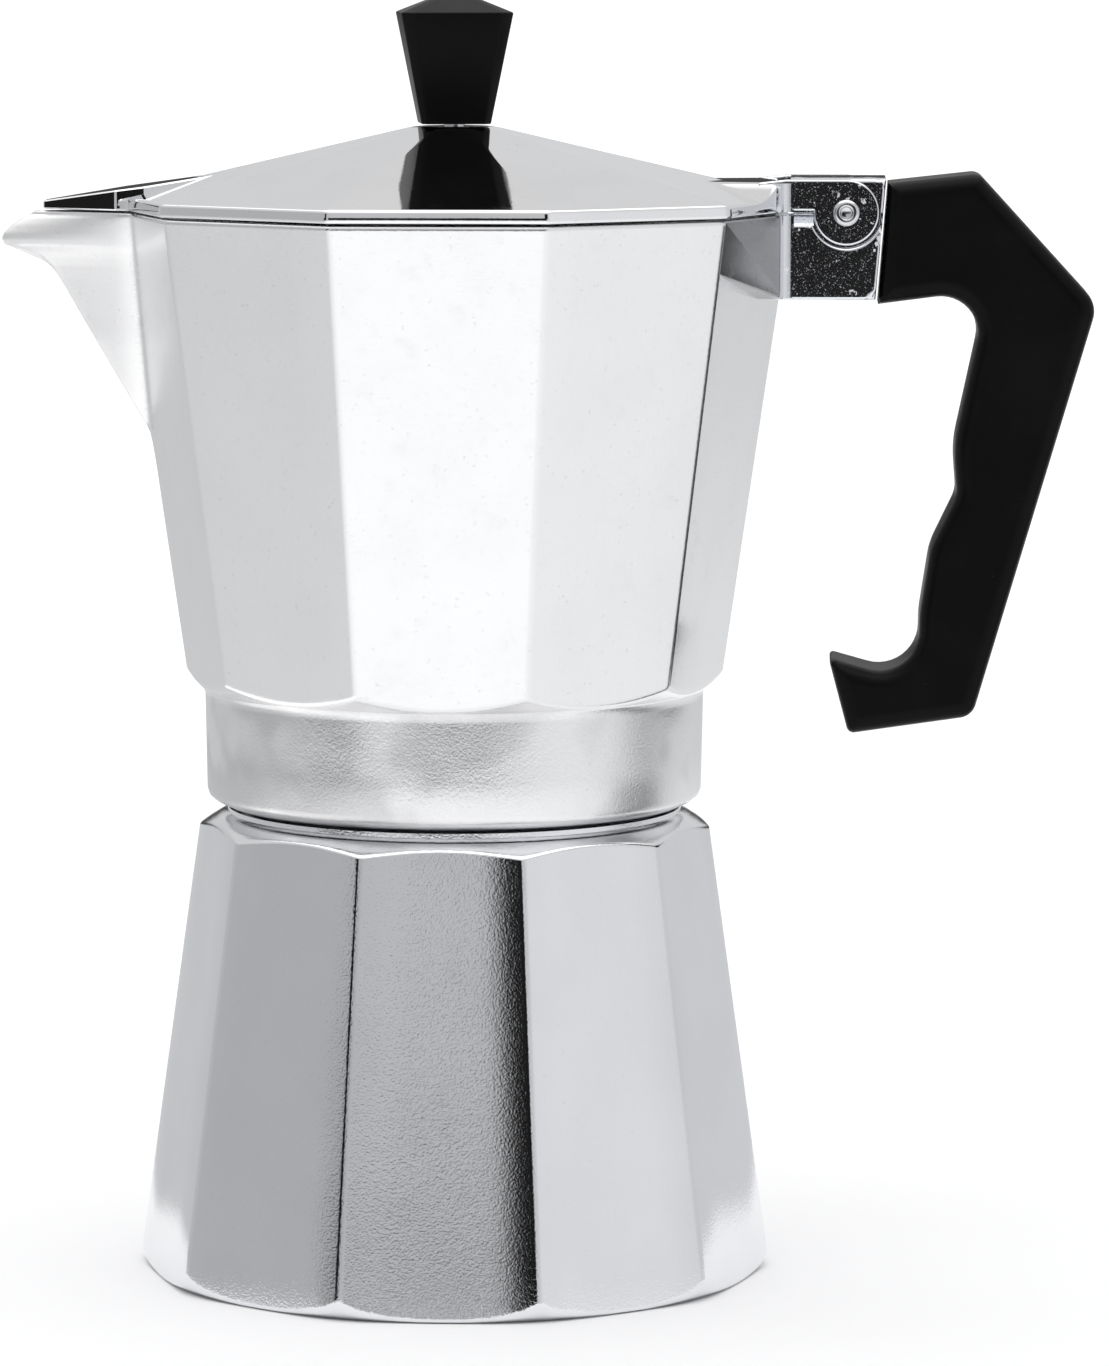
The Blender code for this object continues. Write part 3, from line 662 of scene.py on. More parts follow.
def side_angles(extra: Sequence[tuple[float, float, float]] = ()) -> np.ndarray:
    """Directions for the columns of a ten-sided wall: close together at its corners.

    Args:
        extra: further (start, end, step) stretches that need finer columns, in degrees.

    Returns:
        Sorted directions in degrees, from 0 to 360.
    """
    half = [0, 0.3, 0.6, 0.9, 1.2, 1.6, 2.0, 2.5, 3.1, 3.9, 5.0, 6.6, 8.6, 11, 14, 18]
    offsets = half + [-a for a in half[1:]]
    angles = [corner * SIDE_ANGLE + a for corner in range(SIDES) for a in offsets]
    for start, end, step in extra:
        angles = [a for a in angles if not start < (a + 180) % 360 - 180 < end
                  and not start < a % 360 < end]
        angles += list(np.arange(start, end + step / 2, step))
    return np.unique(np.round(np.mod(angles, 360.0), 4))


def dense(profile: Profile, step: float) -> Outline:
    """Split an outline's long sides so that no step is longer than a size."""
    out = [tuple(profile[0])]
    for start, end in zip(profile, profile[1:]):
        parts = max(1, math.ceil(math.dist(start, end) / step))
        out += [tuple(a + (b - a) * k / parts for a, b in zip(start, end)) for k in range(1, parts + 1)]
    return out


def columns_from(angles: np.ndarray, radius: np.ndarray, height: np.ndarray) -> np.ndarray:
    """Points from each column's angle and each point's radius and height."""
    turn = np.radians(angles)[:, None]
    return np.stack([radius * np.cos(turn), radius * np.sin(turn), height], axis=-1)


# ---------------------------------------------------------------- geometry nodes
class NodeRecipe:
    """A Geometry Nodes tree that is run once and turned into a plain mesh."""

    def __init__(self, name: str, inputs: dict[str, tuple[str, Any]]) -> None:
        """Start a tree.

        Args:
            name: the tree's name.
            inputs: socket type and value for each named input.
        """
        self.tree = bpy.data.node_groups.new(name, "GeometryNodeTree")
        self.values: dict[str, Any] = {}
        self.tree.interface.new_socket("Geometry", in_out="INPUT", socket_type="NodeSocketGeometry")
        self.tree.interface.new_socket("Geometry", in_out="OUTPUT", socket_type="NodeSocketGeometry")
        for label, (kind, value) in inputs.items():
            made = self.tree.interface.new_socket(label, in_out="INPUT", socket_type=kind)
            self.values[made.identifier] = value
        self.graph = Graph(self.tree)
        self.source = self.tree.nodes.new("NodeGroupInput")
        self.result = self.tree.nodes.new("NodeGroupOutput")

    def read(self, label: str) -> Value:
        """One of the tree's named inputs."""
        return Value(self.graph, self.source.outputs[label])

    def run(self, geometry: Value, material: bpy.types.Material,
            start: bpy.types.Mesh | None = None) -> bpy.types.Mesh:
        """Finish the tree, evaluate it and return the plain mesh.

        Args:
            geometry: the geometry to hand out.
            material: its finish.
            start: the mesh that the tree starts from, or None.

        Returns:
            A mesh of its own.
        """
        real = self.graph.add("GeometryNodeRealizeInstances", None, {0: geometry})
        dressed = self.graph.add("GeometryNodeSetMaterial", None, {"Geometry": real, "Material": material})
        self.tree.links.new(dressed.socket, self.result.inputs[0])
        holder = placed("recipe", start or bpy.data.meshes.new("recipe"))
        modifier = holder.modifiers.new("recipe", "NODES")
        modifier.node_group = self.tree
        for identifier, value in self.values.items():
            modifier[identifier] = value
        graph = bpy.context.evaluated_depsgraph_get()
        mesh = bpy.data.meshes.new_from_object(holder.evaluated_get(graph))
        holder.modifiers.clear()
        bpy.data.objects.remove(holder)
        return shaded(mesh)


@dataclass(frozen=True)
class Thread:
    """A right-hand thread round the Z axis; one whose crest is nearer the axis faces inwards."""

    root: float
    crest: float
    start: float
    turns: float = 3.0
    pitch: float = 3.0
    root_width: float = 1.45
    crest_width: float = 0.75

    def mesh(self, material: bpy.types.Material) -> bpy.types.Mesh:
        """Sweep the thread's section along its helix.

        Args:
            material: the finish.

        Returns:
            The mesh.
        """
        recipe = NodeRecipe("thread", {"Turns": ("NodeSocketFloat", self.turns),
                                       "Pitch": ("NodeSocketFloat", self.pitch * MM),
                                       "Radius": ("NodeSocketFloat", self.root * MM)})
        graph = recipe.graph
        height = recipe.read("Turns") * recipe.read("Pitch")
        helix = graph.add("GeometryNodeCurveSpiral", None, {
            "Resolution": 72, "Rotations": recipe.read("Turns"), "Start Radius": recipe.read("Radius"),
            "End Radius": recipe.read("Radius"), "Height": height, "Reverse": True})
        upright = graph.add("GeometryNodeSetCurveNormal", {"mode": "Z_UP"}, {0: helix})
        rise = (self.crest - self.root) * MM
        points = [(0.0, -self.root_width / 2 * MM), (rise, -self.crest_width / 2 * MM),
                  (rise, self.crest_width / 2 * MM), (0.0, self.root_width / 2 * MM)]
        section = graph.add("GeometryNodeCurvePrimitiveQuadrilateral", {"mode": "POINTS"},
                            {f"Point {i + 1}": (p[0], p[1], 0.0) for i, p in enumerate(points)})
        swept = graph.add("GeometryNodeCurveToMesh", None,
                          {"Curve": upright, "Profile Curve": section, "Fill Caps": True})
        mesh = recipe.run(swept, material)
        mesh.transform(Matrix.Translation((0, 0, self.start * MM)))
        return mesh


def perforated(disc: bpy.types.Mesh, material: bpy.types.Material, hole: float, spacing: float,
               reach: float, middle: float) -> bpy.types.Mesh:
    """Cut a field of small holes through a flat disc.

    Args:
        disc: the plain disc.
        material: the finish.
        hole: radius of each hole.
        spacing: distance between holes.
        reach: radius of the field of holes.
        middle: height of the disc's middle.

    Returns:
        The perforated mesh.
    """
    places = bpy.data.meshes.new("places")
    rows = int(reach / spacing) + 1
    centres = [((i + 0.5 * (j % 2)) * spacing * MM, j * spacing * 0.866 * MM, middle * MM)
               for j in range(-rows, rows + 1) for i in range(-rows - 1, rows + 2)]
    places.from_pydata([c for c in centres if math.hypot(c[0], c[1]) < reach * MM], [], [])
    recipe = NodeRecipe("perforations", {"Hole radius": ("NodeSocketFloat", hole * MM),
                                         "Depth": ("NodeSocketFloat", 4.0 * MM)})
    graph = recipe.graph
    drill = graph.add("GeometryNodeMeshCylinder", None, {
        "Vertices": 8, "Radius": recipe.read("Hole radius"), "Depth": recipe.read("Depth")})
    drills = graph.add("GeometryNodeInstanceOnPoints", None,
                       {"Points": Value(graph, recipe.source.outputs[0]), "Instance": drill})
    return subtract(disc, [recipe.run(drills, material, places)], solver="EXACT")


def subtract(mesh: bpy.types.Mesh, tools: Sequence[bpy.types.Mesh], sharp_angle: float = 35.0,
             solver: str = "MANIFOLD") -> bpy.types.Mesh:
    """Cut tools out of a mesh and return the result as a new plain mesh."""
    target = placed("target", mesh)
    held = [target]
    for tool_mesh in tools:
        tool = placed("tool", tool_mesh)
        held.append(tool)
        step = target.modifiers.new("cut", "BOOLEAN")
        step.solver = solver
        step.object = tool
    made = bpy.data.meshes.new_from_object(target.evaluated_get(bpy.context.evaluated_depsgraph_get()))
    for item in held:
        bpy.data.objects.remove(item)
    return shaded(made, sharp_angle)


def outline_distance(points: np.ndarray, outline: np.ndarray) -> np.ndarray:
    """Shortest distance from each point to a closed outline."""
    start, end = outline, np.roll(outline, -1, axis=0)
    along = end - start
    gap = points[:, None, :] - start[None, :, :]
    share = np.clip((gap * along).sum(-1) / (along * along).sum(-1), 0.0, 1.0)
    return np.linalg.norm(gap - share[..., None] * along, axis=-1).min(axis=1)


def pillow(outline: Profile, low: float, high: float, edge: float, spacing: float = 0.8,
           rings: int = 6) -> bmesh.types.BMesh:
    """Extrude an (x, z) outline between two y values, with quarter-round edges.

    Args:
        outline: its corners, in order.
        low: lowest y.
        high: highest y.
        edge: radius of the rounded edges.
        spacing: longest step along the outline.
        rings: rows of points over each rounding.

    Returns:
        A closed body.
    """
    loop = np.array(dense(list(outline) + [outline[0]], spacing)[:-1])
    ahead = np.roll(loop, -1, axis=0)
    if (loop[:, 0] * ahead[:, 1] - ahead[:, 0] * loop[:, 1]).sum() < 0:
        loop = loop[::-1]
    before = loop - np.roll(loop, 1, axis=0)
    after = np.roll(loop, -1, axis=0) - loop
    normals = [np.stack([-v[:, 1], v[:, 0]], axis=1) / np.linalg.norm(v, axis=1)[:, None]
               for v in (before, after)]
    miter = (normals[0] + normals[1]) / (1.0 + (normals[0] * normals[1]).sum(1))[:, None]
    hollow = before[:, 0] * after[:, 1] - before[:, 1] * after[:, 0] < -1e-6
    miter[hollow] /= np.linalg.norm(miter[hollow], axis=1)[:, None]
    points = [loop]
    steps = [1 - math.cos(math.pi / 2 * k / rings) for k in range(1, rings + 1)] + [1.2, 1.5]
    for away in (edge * step for step in steps):
        moved = np.concatenate([loop + miter * away, (loop + normals[0] * away)[hollow],
                                (loop + normals[1] * away)[hollow]])
        points.append(moved[np.abs(outline_distance(moved, loop) - away) < 0.02 * away + 1e-4])
    flat = np.concatenate(points)
    border = [(i, (i + 1) % len(loop)) for i in range(len(loop))]
    made = delaunay_2d_cdt([Vector(v) for v in flat], border, [], 1, 1e-6)
    places = np.array([tuple(v) for v in made[0]])
    depth = np.minimum(outline_distance(places, loop), edge)
    on_border = depth < 1e-4
    drop = edge - np.sqrt(np.maximum(edge ** 2 - (edge - depth) ** 2, 0.0))
    bm = bmesh.new()
    sheets = []
    for level, side in ((low, 1), (high, -1)):
        sheets.append([bm.verts.new((x * MM, (level + side * (edge if rim else d)) * MM, z * MM))
                       for (x, z), d, rim in zip(places, drop, on_border)])
    for face in made[2]:
        bm.faces.new([sheets[0][i] for i in face])
        bm.faces.new([sheets[1][i] for i in reversed(face)])
    place_of = {vertex: i for i, vertex in enumerate(sheets[0])}
    for pair in [e for e in bm.edges if e.is_boundary and e.verts[0] in place_of]:
        a, b = (place_of[v] for v in pair.verts)
        bm.faces.new((sheets[0][a], sheets[0][b], sheets[1][b], sheets[1][a]))
    bmesh.ops.delete(bm, geom=[v for v in bm.verts if not v.link_faces], context="VERTS")
    bmesh.ops.recalc_face_normals(bm, faces=bm.faces)
    return bm


def ring_surface(rows: np.ndarray, profile: Profile) -> np.ndarray:
    """Radius of a turned envelope at each height, from its (radius, height) corners."""
    heights = [z for _, z in profile]
    return np.interp(rows, heights, [r for r, _ in profile])


# ---------------------------------------------------------------- the pot's sub-assemblies
@dataclass
class Boiler:
    """The water vessel: ten flat sides, turned edges and a screwed neck."""

    floor_corner: float = 52.53
    taper: float = -0.1391
    edge: float = 0.42
    crown: float = 0.36
    thread: Thread = Thread(root=35.8, crest=36.9, start=79.2)
    valve_hole: Profile = ((0, -9), (4.3, -9), (4.3, 6), (0, 6))
    envelope: Profile = ((48.9, 0.0), (50.1, 0.3), (51.0, 0.9), (51.6, 2.0), (52.1, 3.8), (53.0, 8.0),
                         (53.0, 65.0), (44.0, 71.6), (42.4, 72.8), (40.1, 74.3), (38.6, 75.2), (37.6, 75.6),
                         (37.2, 75.8), (37.2, 76.6), (35.9, 77.1), (35.9, 89.4), (35.3, 90.0))
    cavity: Profile = ((33.4, 90.0), (33.4, 88.9), (30.9, 88.9), (30.9, 76.6), (31.6, 75.2), (34.4, 72.8),
                       (37.77, 69.5), (46.16, 6.6), (45.5, 4.8), (43.6, 4.0), (0.0, 4.0))

    def corner(self, height: Any) -> Any:
        """Corner radius at a height."""
        return self.floor_corner + self.taper * height

    def wall_rows(self) -> np.ndarray:
        """Heights of the outer wall's rows: close together where the sides meet turned edges."""
        return np.concatenate([np.linspace(0, 8.0, 30), np.linspace(11, 66, 15), np.linspace(68, 70.5, 4),
                               np.linspace(71, 76.4, 40),
                               [76.6, 76.8, 77.1, 77.6, 82, 88.8, 89.4, 89.75, 90.0]])

    def vessel(self) -> bpy.types.Mesh:
        """The vessel as one closed mesh."""
        angles = side_angles()
        rows = self.wall_rows()
        flat = self.corner(rows)[None, :] * INRADIUS
        wall = soft_min(side_radius(angles[:, None], flat, self.edge, self.crown),
                        ring_surface(rows, self.envelope)[None, :], 0.5)
        inner = dense(self.cavity, 12.0)
        inner_radius = np.tile([p[0] for p in inner], (len(angles), 1))
        radius = np.concatenate([np.zeros((len(angles), 1)), wall, inner_radius], axis=1)
        height = np.tile(np.concatenate([[0.0], rows, [p[1] for p in inner]]), (len(angles), 1))
        return loop_mesh(columns_from(angles, radius, height), False, 40.0)

    def build(self, finishes: Finishes, valve: "Valve") -> None:
        """Build the vessel, with a hole for its valve, and its thread."""
        hole = turned(self.valve_hole, 48, 0.0, valve.axis())
        add_piece("boiler_vessel", subtract(self.vessel(), [hole], 40.0), finishes.boiler, Body.BASE,
                  ["boiler"])
        add_piece("neck_thread", self.thread.mesh(finishes.neck), finishes.neck, Body.BASE)


@dataclass
class Valve:
    """The brass safety valve on the boiler's back. Its outlines run outwards from the wall's face."""

    joint: dict[str, Any]
    washer_middle: float = 0.6
    barrel: Profile = ((1.6, -4.4), (4.0, -4.4), (4.0, 2.0), (4.9, 2.0), (4.9, 8.0), (3.3, 8.0),
                       (3.3, -0.6), (1.6, -1.2))
    hexagon: Profile = ((4.6, 1.2), (7.0, 1.2), (7.0, 4.0), (4.6, 4.0))
    cap: Profile = ((1.4, 8.3), (4.9, 8.3), (4.6, 9.1), (1.4, 9.1))
    piston: Profile = ((0.0, -0.3), (2.2, -0.3), (2.8, 0.3), (2.8, 1.2), (1.0, 1.2), (1.0, 10.2),
                       (0.7, 10.6), (0.0, 10.6))
    coil_span: tuple[float, float] = (1.82, 7.68)
    coils: float = 4.0
    coil_radius: float = 2.15
    wire_radius: float = 0.32

    def axis(self) -> Matrix:
        """The valve's own frame: +Z straight out of the wall, from its face."""
        out = Vector(self.joint["axis"])
        low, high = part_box("valve_washer")
        face = (low + high) / 2 - out * (self.washer_middle * MM)
        return Matrix.Translation(face) @ out.to_track_quat("Z", "Y").to_matrix().to_4x4()

    def build(self, finishes: Finishes) -> None:
        """Build the valve's pieces."""
        place = self.axis()
        nut = bmesh.new()
        nut.from_mesh(turned(self.hexagon, 6, 0.25))
        flats = joined([nut], 25.0)
        flats.transform(place)
        add_piece("valve_nut", flats, finishes.brass, Body.BASE)
        add_piece("valve_barrel", turned(self.barrel, 48, 0.2, place), finishes.brass, Body.BASE,
                  ["valve_body"])
        add_piece("valve_lip", turned(self.cap, 48, 0.15, place), finishes.brass, Body.BASE,
                  ["valve_cap"])
        add_piece("valve_plunger", turned(self.piston, 48, 0.15, place), finishes.steel, Body.PLUNGER,
                  ["valve_piston"])
        self.build_spring(finishes, place)

    def build_spring(self, finishes: Finishes, place: Matrix) -> None:
        """Sweep the spring's wire."""
        low, high = self.coil_span
        recipe = NodeRecipe("spring", {"Coils": ("NodeSocketFloat", self.coils),
                                       "Length": ("NodeSocketFloat", (high - low) * MM),
                                       "Coil radius": ("NodeSocketFloat", self.coil_radius * MM),
                                       "Wire radius": ("NodeSocketFloat", self.wire_radius * MM)})
        graph = recipe.graph
        helix = graph.add("GeometryNodeCurveSpiral", None, {
            "Resolution": 32, "Rotations": recipe.read("Coils"), "Start Radius": recipe.read("Coil radius"),
            "End Radius": recipe.read("Coil radius"), "Height": recipe.read("Length"), "Reverse": False})
        wire = graph.add("GeometryNodeCurvePrimitiveCircle", None,
                         {"Resolution": 10, "Radius": recipe.read("Wire radius")})
        swept = graph.add("GeometryNodeCurveToMesh", None,
                          {"Curve": helix, "Profile Curve": wire, "Fill Caps": True})
        mesh = recipe.run(swept, finishes.steel)
        mesh.transform(place @ Matrix.Translation((0, 0, low * MM)))
        spring = add_piece("valve_coil", mesh, finishes.steel, Body.BASE, ["valve_spring"])
        anchor = place @ Vector((0, 0, high * MM))
        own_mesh(spring)


@dataclass
class Funnel:
    """The spun coffee funnel that hangs in the neck, with its stem and sieve."""

    basket: Profile = ((29.2, 90.0), (33.0, 90.0), (33.0, 89.3), (30.2, 89.3), (30.2, 66.0), (28.6, 63.6),
                       (6.4, 55.6), (4.9, 53.6), (4.9, 46.0), (4.0, 46.0), (4.0, 54.2), (5.6, 56.4),
                       (27.8, 64.5), (29.2, 66.6))
    stem: Profile = ((5.2, 8.0), (6.0, 8.0), (6.0, 53.2), (5.2, 53.2))
    sieve: Profile = ((0.0, 66.9), (28.8, 66.9), (28.8, 67.6), (0.0, 67.6))

    def build(self, finishes: Finishes) -> None:
        """Build the funnel's three pieces."""
        add_piece("basket", turned(self.basket, 128, 0.3), finishes.spun, Body.BASE,
                  ["funnel_basket"])
        add_piece("stem", turned(self.stem, 64, 0.2), finishes.spun, Body.BASE, ["funnel_stem"])
        sieve = perforated(turned(self.sieve, 96, 0.1), finishes.spun, 0.6, 3.6, 26.5, 67.25)
        add_piece("sieve", sieve, finishes.spun, Body.BASE, ["funnel_sieve"])


@dataclass
class Seal:
    """The white gasket with the perforated plate in its groove."""

    ring: Profile = ((28.6, 90.3), (35.7, 90.3), (35.7, 93.3), (28.6, 93.3), (28.6, 92.8), (30.2, 92.8),
                     (30.2, 91.4), (28.6, 91.4))
    plate: Profile = ((0.0, 91.7), (29.9, 91.7), (29.9, 92.5), (0.0, 92.5))

    def build(self, finishes: Finishes) -> None:
        """Build the gasket and the plate."""
        add_piece("gasket_ring", turned(self.ring, 128, 0.35), finishes.rubber, Body.SEAL,
                  ["gasket"])
        plate = perforated(turned(self.plate, 96, 0.1), finishes.spun, 0.55, 3.2, 27.0, 92.1)
        add_piece("plate", plate, finishes.spun, Body.SEAL, ["filter_plate"])


@dataclass
class Collector:
    """The upper vessel: ten flat sides on a turned collar, with a spout and shoulders for its hinge."""

    rim: float = 173.7
    rim_corner: float = 55.0
    taper: float = 0.14485
    wall: float = 2.8
    foot: float = 96.0
    edge: float = 0.36
    crown: float = 0.08
    lip: float = 0.5
    thread: Thread = Thread(root=37.4, crest=36.4, start=80.7)
    collar: Profile = ((37.6, 77.2), (39.5, 78.1), (40.2, 78.7), (40.5, 79.6), (40.8, 95.4), (41.2, 96.2),
                       (42.5, 97.3), (43.8, 98.4), (45.1, 99.7), (46.6, 101.4), (70.0, 130.0), (90.0, 180.0))
    inside: Profile = ((42.5, 105.0), (40.0, 101.0), (37.5, 98.9), (34.0, 98.0), (7.1, 98.0), (7.1, 95.6),
                       (9.5, 95.6), (29.0, 93.6), (36.05, 93.6), (36.05, 90.8), (37.3, 90.2), (37.3, 77.2))
    front: Profile = ((134.0, 48.8), (137.2, 49.6), (162.7, 64.35), (164.9, 65.8), (166.2, 67.2),
                      (167.1, 68.95), (167.7, 71.1), (168.2, 73.3), (169.2, 73.84), (170.1, 73.55),
                      (171.5, 72.1), (172.8, 70.3), (173.7, 67.2))
    channel: Profile = ((144.0, 46.0), (150.0, 54.0), (162.7, 61.4), (166.2, 64.4), (167.8, 67.4),
                        (168.7, 70.6), (169.3, 74.5), (169.6, 80.0), (174.0, 80.0))
    spout_low: float = 137.2
    spout_half: float = 9.6
    spout_wall: float = 2.3
    nose: float = 2.3
    wing_low: float = 165.1
    wing_end: tuple[float, float] = (53.6, 10.9)

    def corner(self, height: np.ndarray) -> np.ndarray:
        """Corner radius at a height, which grows out of the collar below the foot."""
        sloped = self.rim_corner + self.taper * (height - self.rim)
        return np.where(height < self.foot, np.maximum(sloped, 44.0 + (self.foot - height) * 0.2), sloped)

    def spout(self, angle: np.ndarray, height: np.ndarray, inset: float, table: Profile) -> np.ndarray:
        """Distance from the axis to the spout's surface.

        Args:
            angle: direction in degrees.
            height: height of each point.
            inset: 0 for the outside, the wall's thickness for the channel.
            table: (height, distance) of the front line.

        Returns:
            The distance, small where the spout isn't in the way.
        """
        across = np.radians(np.clip(angle - 180.0, -60.0, 60.0))
        level = np.clip(height, self.spout_low, self.rim)
        root = self.spout_half * (level - self.spout_low) / (self.rim - self.spout_low)
        root = np.maximum(root, 0.6)
        full_nose = np.maximum(np.minimum(self.nose, 0.55 * root), 0.4)
        nose = np.maximum(full_nose - inset * 0.5, 0.4)
        reach = np.interp(height, [p[0] for p in table], [p[1] for p in table])
        outer = np.interp(level, [p[0] for p in self.front], [p[1] for p in self.front])
        turn_in = np.minimum(reach - nose, outer - full_nose)
        half = np.maximum(root - inset, nose + 0.1)
        root_x = self.corner(level) - root * math.tan(math.radians(SIDE_ANGLE / 2))
        root_x = np.minimum(root_x, turn_in - 0.5)
        length = np.hypot(half - nose, turn_in - root_x)
        nx, ny = (half - nose) / length, (turn_in - root_x) / length
        offset = turn_in * nx + nose * ny
        sides = []
        for sign in (-1, 1):
            facing = nx * np.cos(across) + sign * ny * np.sin(across)
            sides.append(offset / np.maximum(facing, 0.12))
        pointed = soft_min(sides[0], sides[1], 2.2 * nose)
        near = (np.abs(angle - 180.0) < 60.0) & (height >= table[0][0])
        return soft_min(pointed, reach / np.cos(across), 1.2) * np.where(near, 1.0, 0.2)

    def outer(self, angle: np.ndarray, height: np.ndarray) -> np.ndarray:
        """Distance from the axis to the outside."""
        flat = self.corner(height) * INRADIUS
        sides = side_radius(angle, flat, self.edge, self.crown)
        sides = soft_max(sides, self.spout(angle, height, 0.0, self.front), 0.8)
        return soft_min(sides, ring_surface(height, self.collar), 0.5)

    def inner(self, angle: np.ndarray, height: np.ndarray) -> np.ndarray:
        """Distance from the axis to the inside."""
        flat = self.corner(height) * INRADIUS - self.wall
        sides = side_radius(angle, flat, 1.2)
        bowl = [(r, z) for r, z in reversed(self.inside[:5])] + [(62.0, 125.0), (62.0, 180.0)]
        sides = soft_min(sides, ring_surface(height, bowl), 0.8)
        return soft_max(sides, self.spout(angle, height, self.spout_wall, self.channel), 0.6)

    def tops(self, angles: np.ndarray) -> np.ndarray:
        """Height of the rim in each column: lower where the channel runs out through the lip."""
        levels = np.linspace(160.0, self.rim, 240)
        grid = np.tile(levels, (len(angles), 1))
        turn = np.tile(angles[:, None], (1, len(levels)))
        left = self.outer(turn, grid) - self.inner(turn, grid)
        thin = left < 0.35
        first = np.where(thin.any(axis=1), thin.argmax(axis=1), len(levels) - 1)
        return levels[first]

    def vessel(self) -> bpy.types.Mesh:
        """The vessel as one closed mesh, each column a loop through its outside and its inside."""
        angles = side_angles([(166.0, 194.0, 0.25)])
        turn = angles[:, None]
        top = self.tops(angles)[:, None]
        count, brim, waist = len(angles), top - self.lip, 156.0
        low_rows = np.concatenate([[77.2, 77.5, 78.1, 78.7, 79.1, 79.6, 85, 90, 94.6, 95.4],
                                   np.linspace(95.8, 106, 50), np.linspace(108, 134, 10),
                                   np.linspace(136, waist, 14)])
        high_rows = waist + (brim - waist) * np.linspace(0.02, 1.0, 52)[None, :]
        out_z = np.concatenate([np.tile(low_rows, (count, 1)), high_rows], axis=1)
        out_r = self.outer(turn, out_z)
        in_z = np.concatenate([waist + (brim - waist) * np.linspace(1.0, 0.0, 26)[None, :],
                               np.tile(np.linspace(150, 106, 12), (count, 1))], axis=1)
        in_r = self.inner(turn, in_z)
        room = np.maximum(out_r[:, -1:] - in_r[:, :1], 0.12)
        ease = np.minimum(self.lip, room * 0.4)
        across, up = (0.08, 0.3, 0.65, 1.0), (0.35, 0.72, 0.93, 1.0)
        lip_r = np.concatenate([out_r[:, -1:] - ease * k for k in across] +
                               [in_r[:, :1] + ease * k for k in across[::-1]], axis=1)
        lip_z = np.concatenate([brim + self.lip * k for k in up + up[::-1]], axis=1)
        deep = dense(self.inside, 8.0)
        deep_r = np.tile([p[0] for p in deep], (count, 1))
        deep_z = np.tile([p[1] for p in deep], (count, 1))
        radius = np.concatenate([out_r, lip_r, in_r, deep_r], axis=1)
        height = np.concatenate([out_z, lip_z, in_z, deep_z], axis=1)
        return loop_mesh(columns_from(angles, radius, height), True, 40.0)

    def wings(self, hinge: "Hinge") -> bpy.types.Mesh:
        """The shoulders that run from the vessel's corners to the hinge block."""
        turn = math.radians(SIDE_ANGLE)
        x1, y1 = self.wing_end
        parts = []
        for side in (-1, 1):
            points = []
            for height in (self.wing_low, self.rim - 0.05):
                reach = float(self.corner(np.array(height))) - 0.12
                x, y = reach * math.cos(turn), reach * math.sin(turn)
                points += [(x, side * y, height), (x - 1.3, side * (y - 0.4), height)]
            for height in (hinge.low + 0.1, self.rim - 0.05):
                middle = float(self.corner(np.array(height))) * INRADIUS - self.wall / 2
                root = (middle - y1 * math.sin(turn / 2)) / math.cos(turn / 2)
                points += [(x1, side * y1, height), (root, side * y1, height),
                           (x1, side * (y1 - 3.0), height)]
            parts.append(bevelled(hull(points), 0.25, 1, 30.0))
        return joined(parts, 8.0)

    def build(self, finishes: Finishes, hinge: "Hinge") -> None:
        """Build the vessel, its shoulders and the thread inside its collar."""
        add_piece("shoulders", self.wings(hinge), finishes.shoulder, Body.UPPER)
        add_piece("collector_vessel", self.vessel(), finishes.collector, Body.UPPER,
                  ["collector"])
        add_piece("collar_thread", self.thread.mesh(finishes.neck), finishes.neck, Body.UPPER)


@dataclass
class Column:
    """The tapered tube that brings the coffee up."""

    outside: Profile = ((0, 95.9), (6.8, 95.9), (6.8, 98.3), (9.6, 98.3), (9.6, 99.6), (7.6, 100.6),
                        (7.3, 102.0), (5.0, 147.0), (4.4, 149.6), (2.6, 151.4), (0, 152.0))
    bore: Profile = ((0, 94.0), (6.0, 94.0), (6.0, 96.4), (3.4, 102.0), (3.2, 147.4), (0, 147.4))
    outlet: Profile = ((-1.6, 142.6), (1.6, 142.6), (1.6, 147.0), (-1.6, 147.0))

    def build(self, finishes: Finishes) -> None:
        """Build the tube with its bore and two outlets."""
        outlets = joined([slab(self.outlet, -8.0, 8.0)])
        tube = subtract(turned(self.outside, 64, 0.4), [turned(self.bore, 48, 0.0), outlets])
        add_piece("tube", tube, finishes.collector, Body.UPPER, ["coffee_column"])


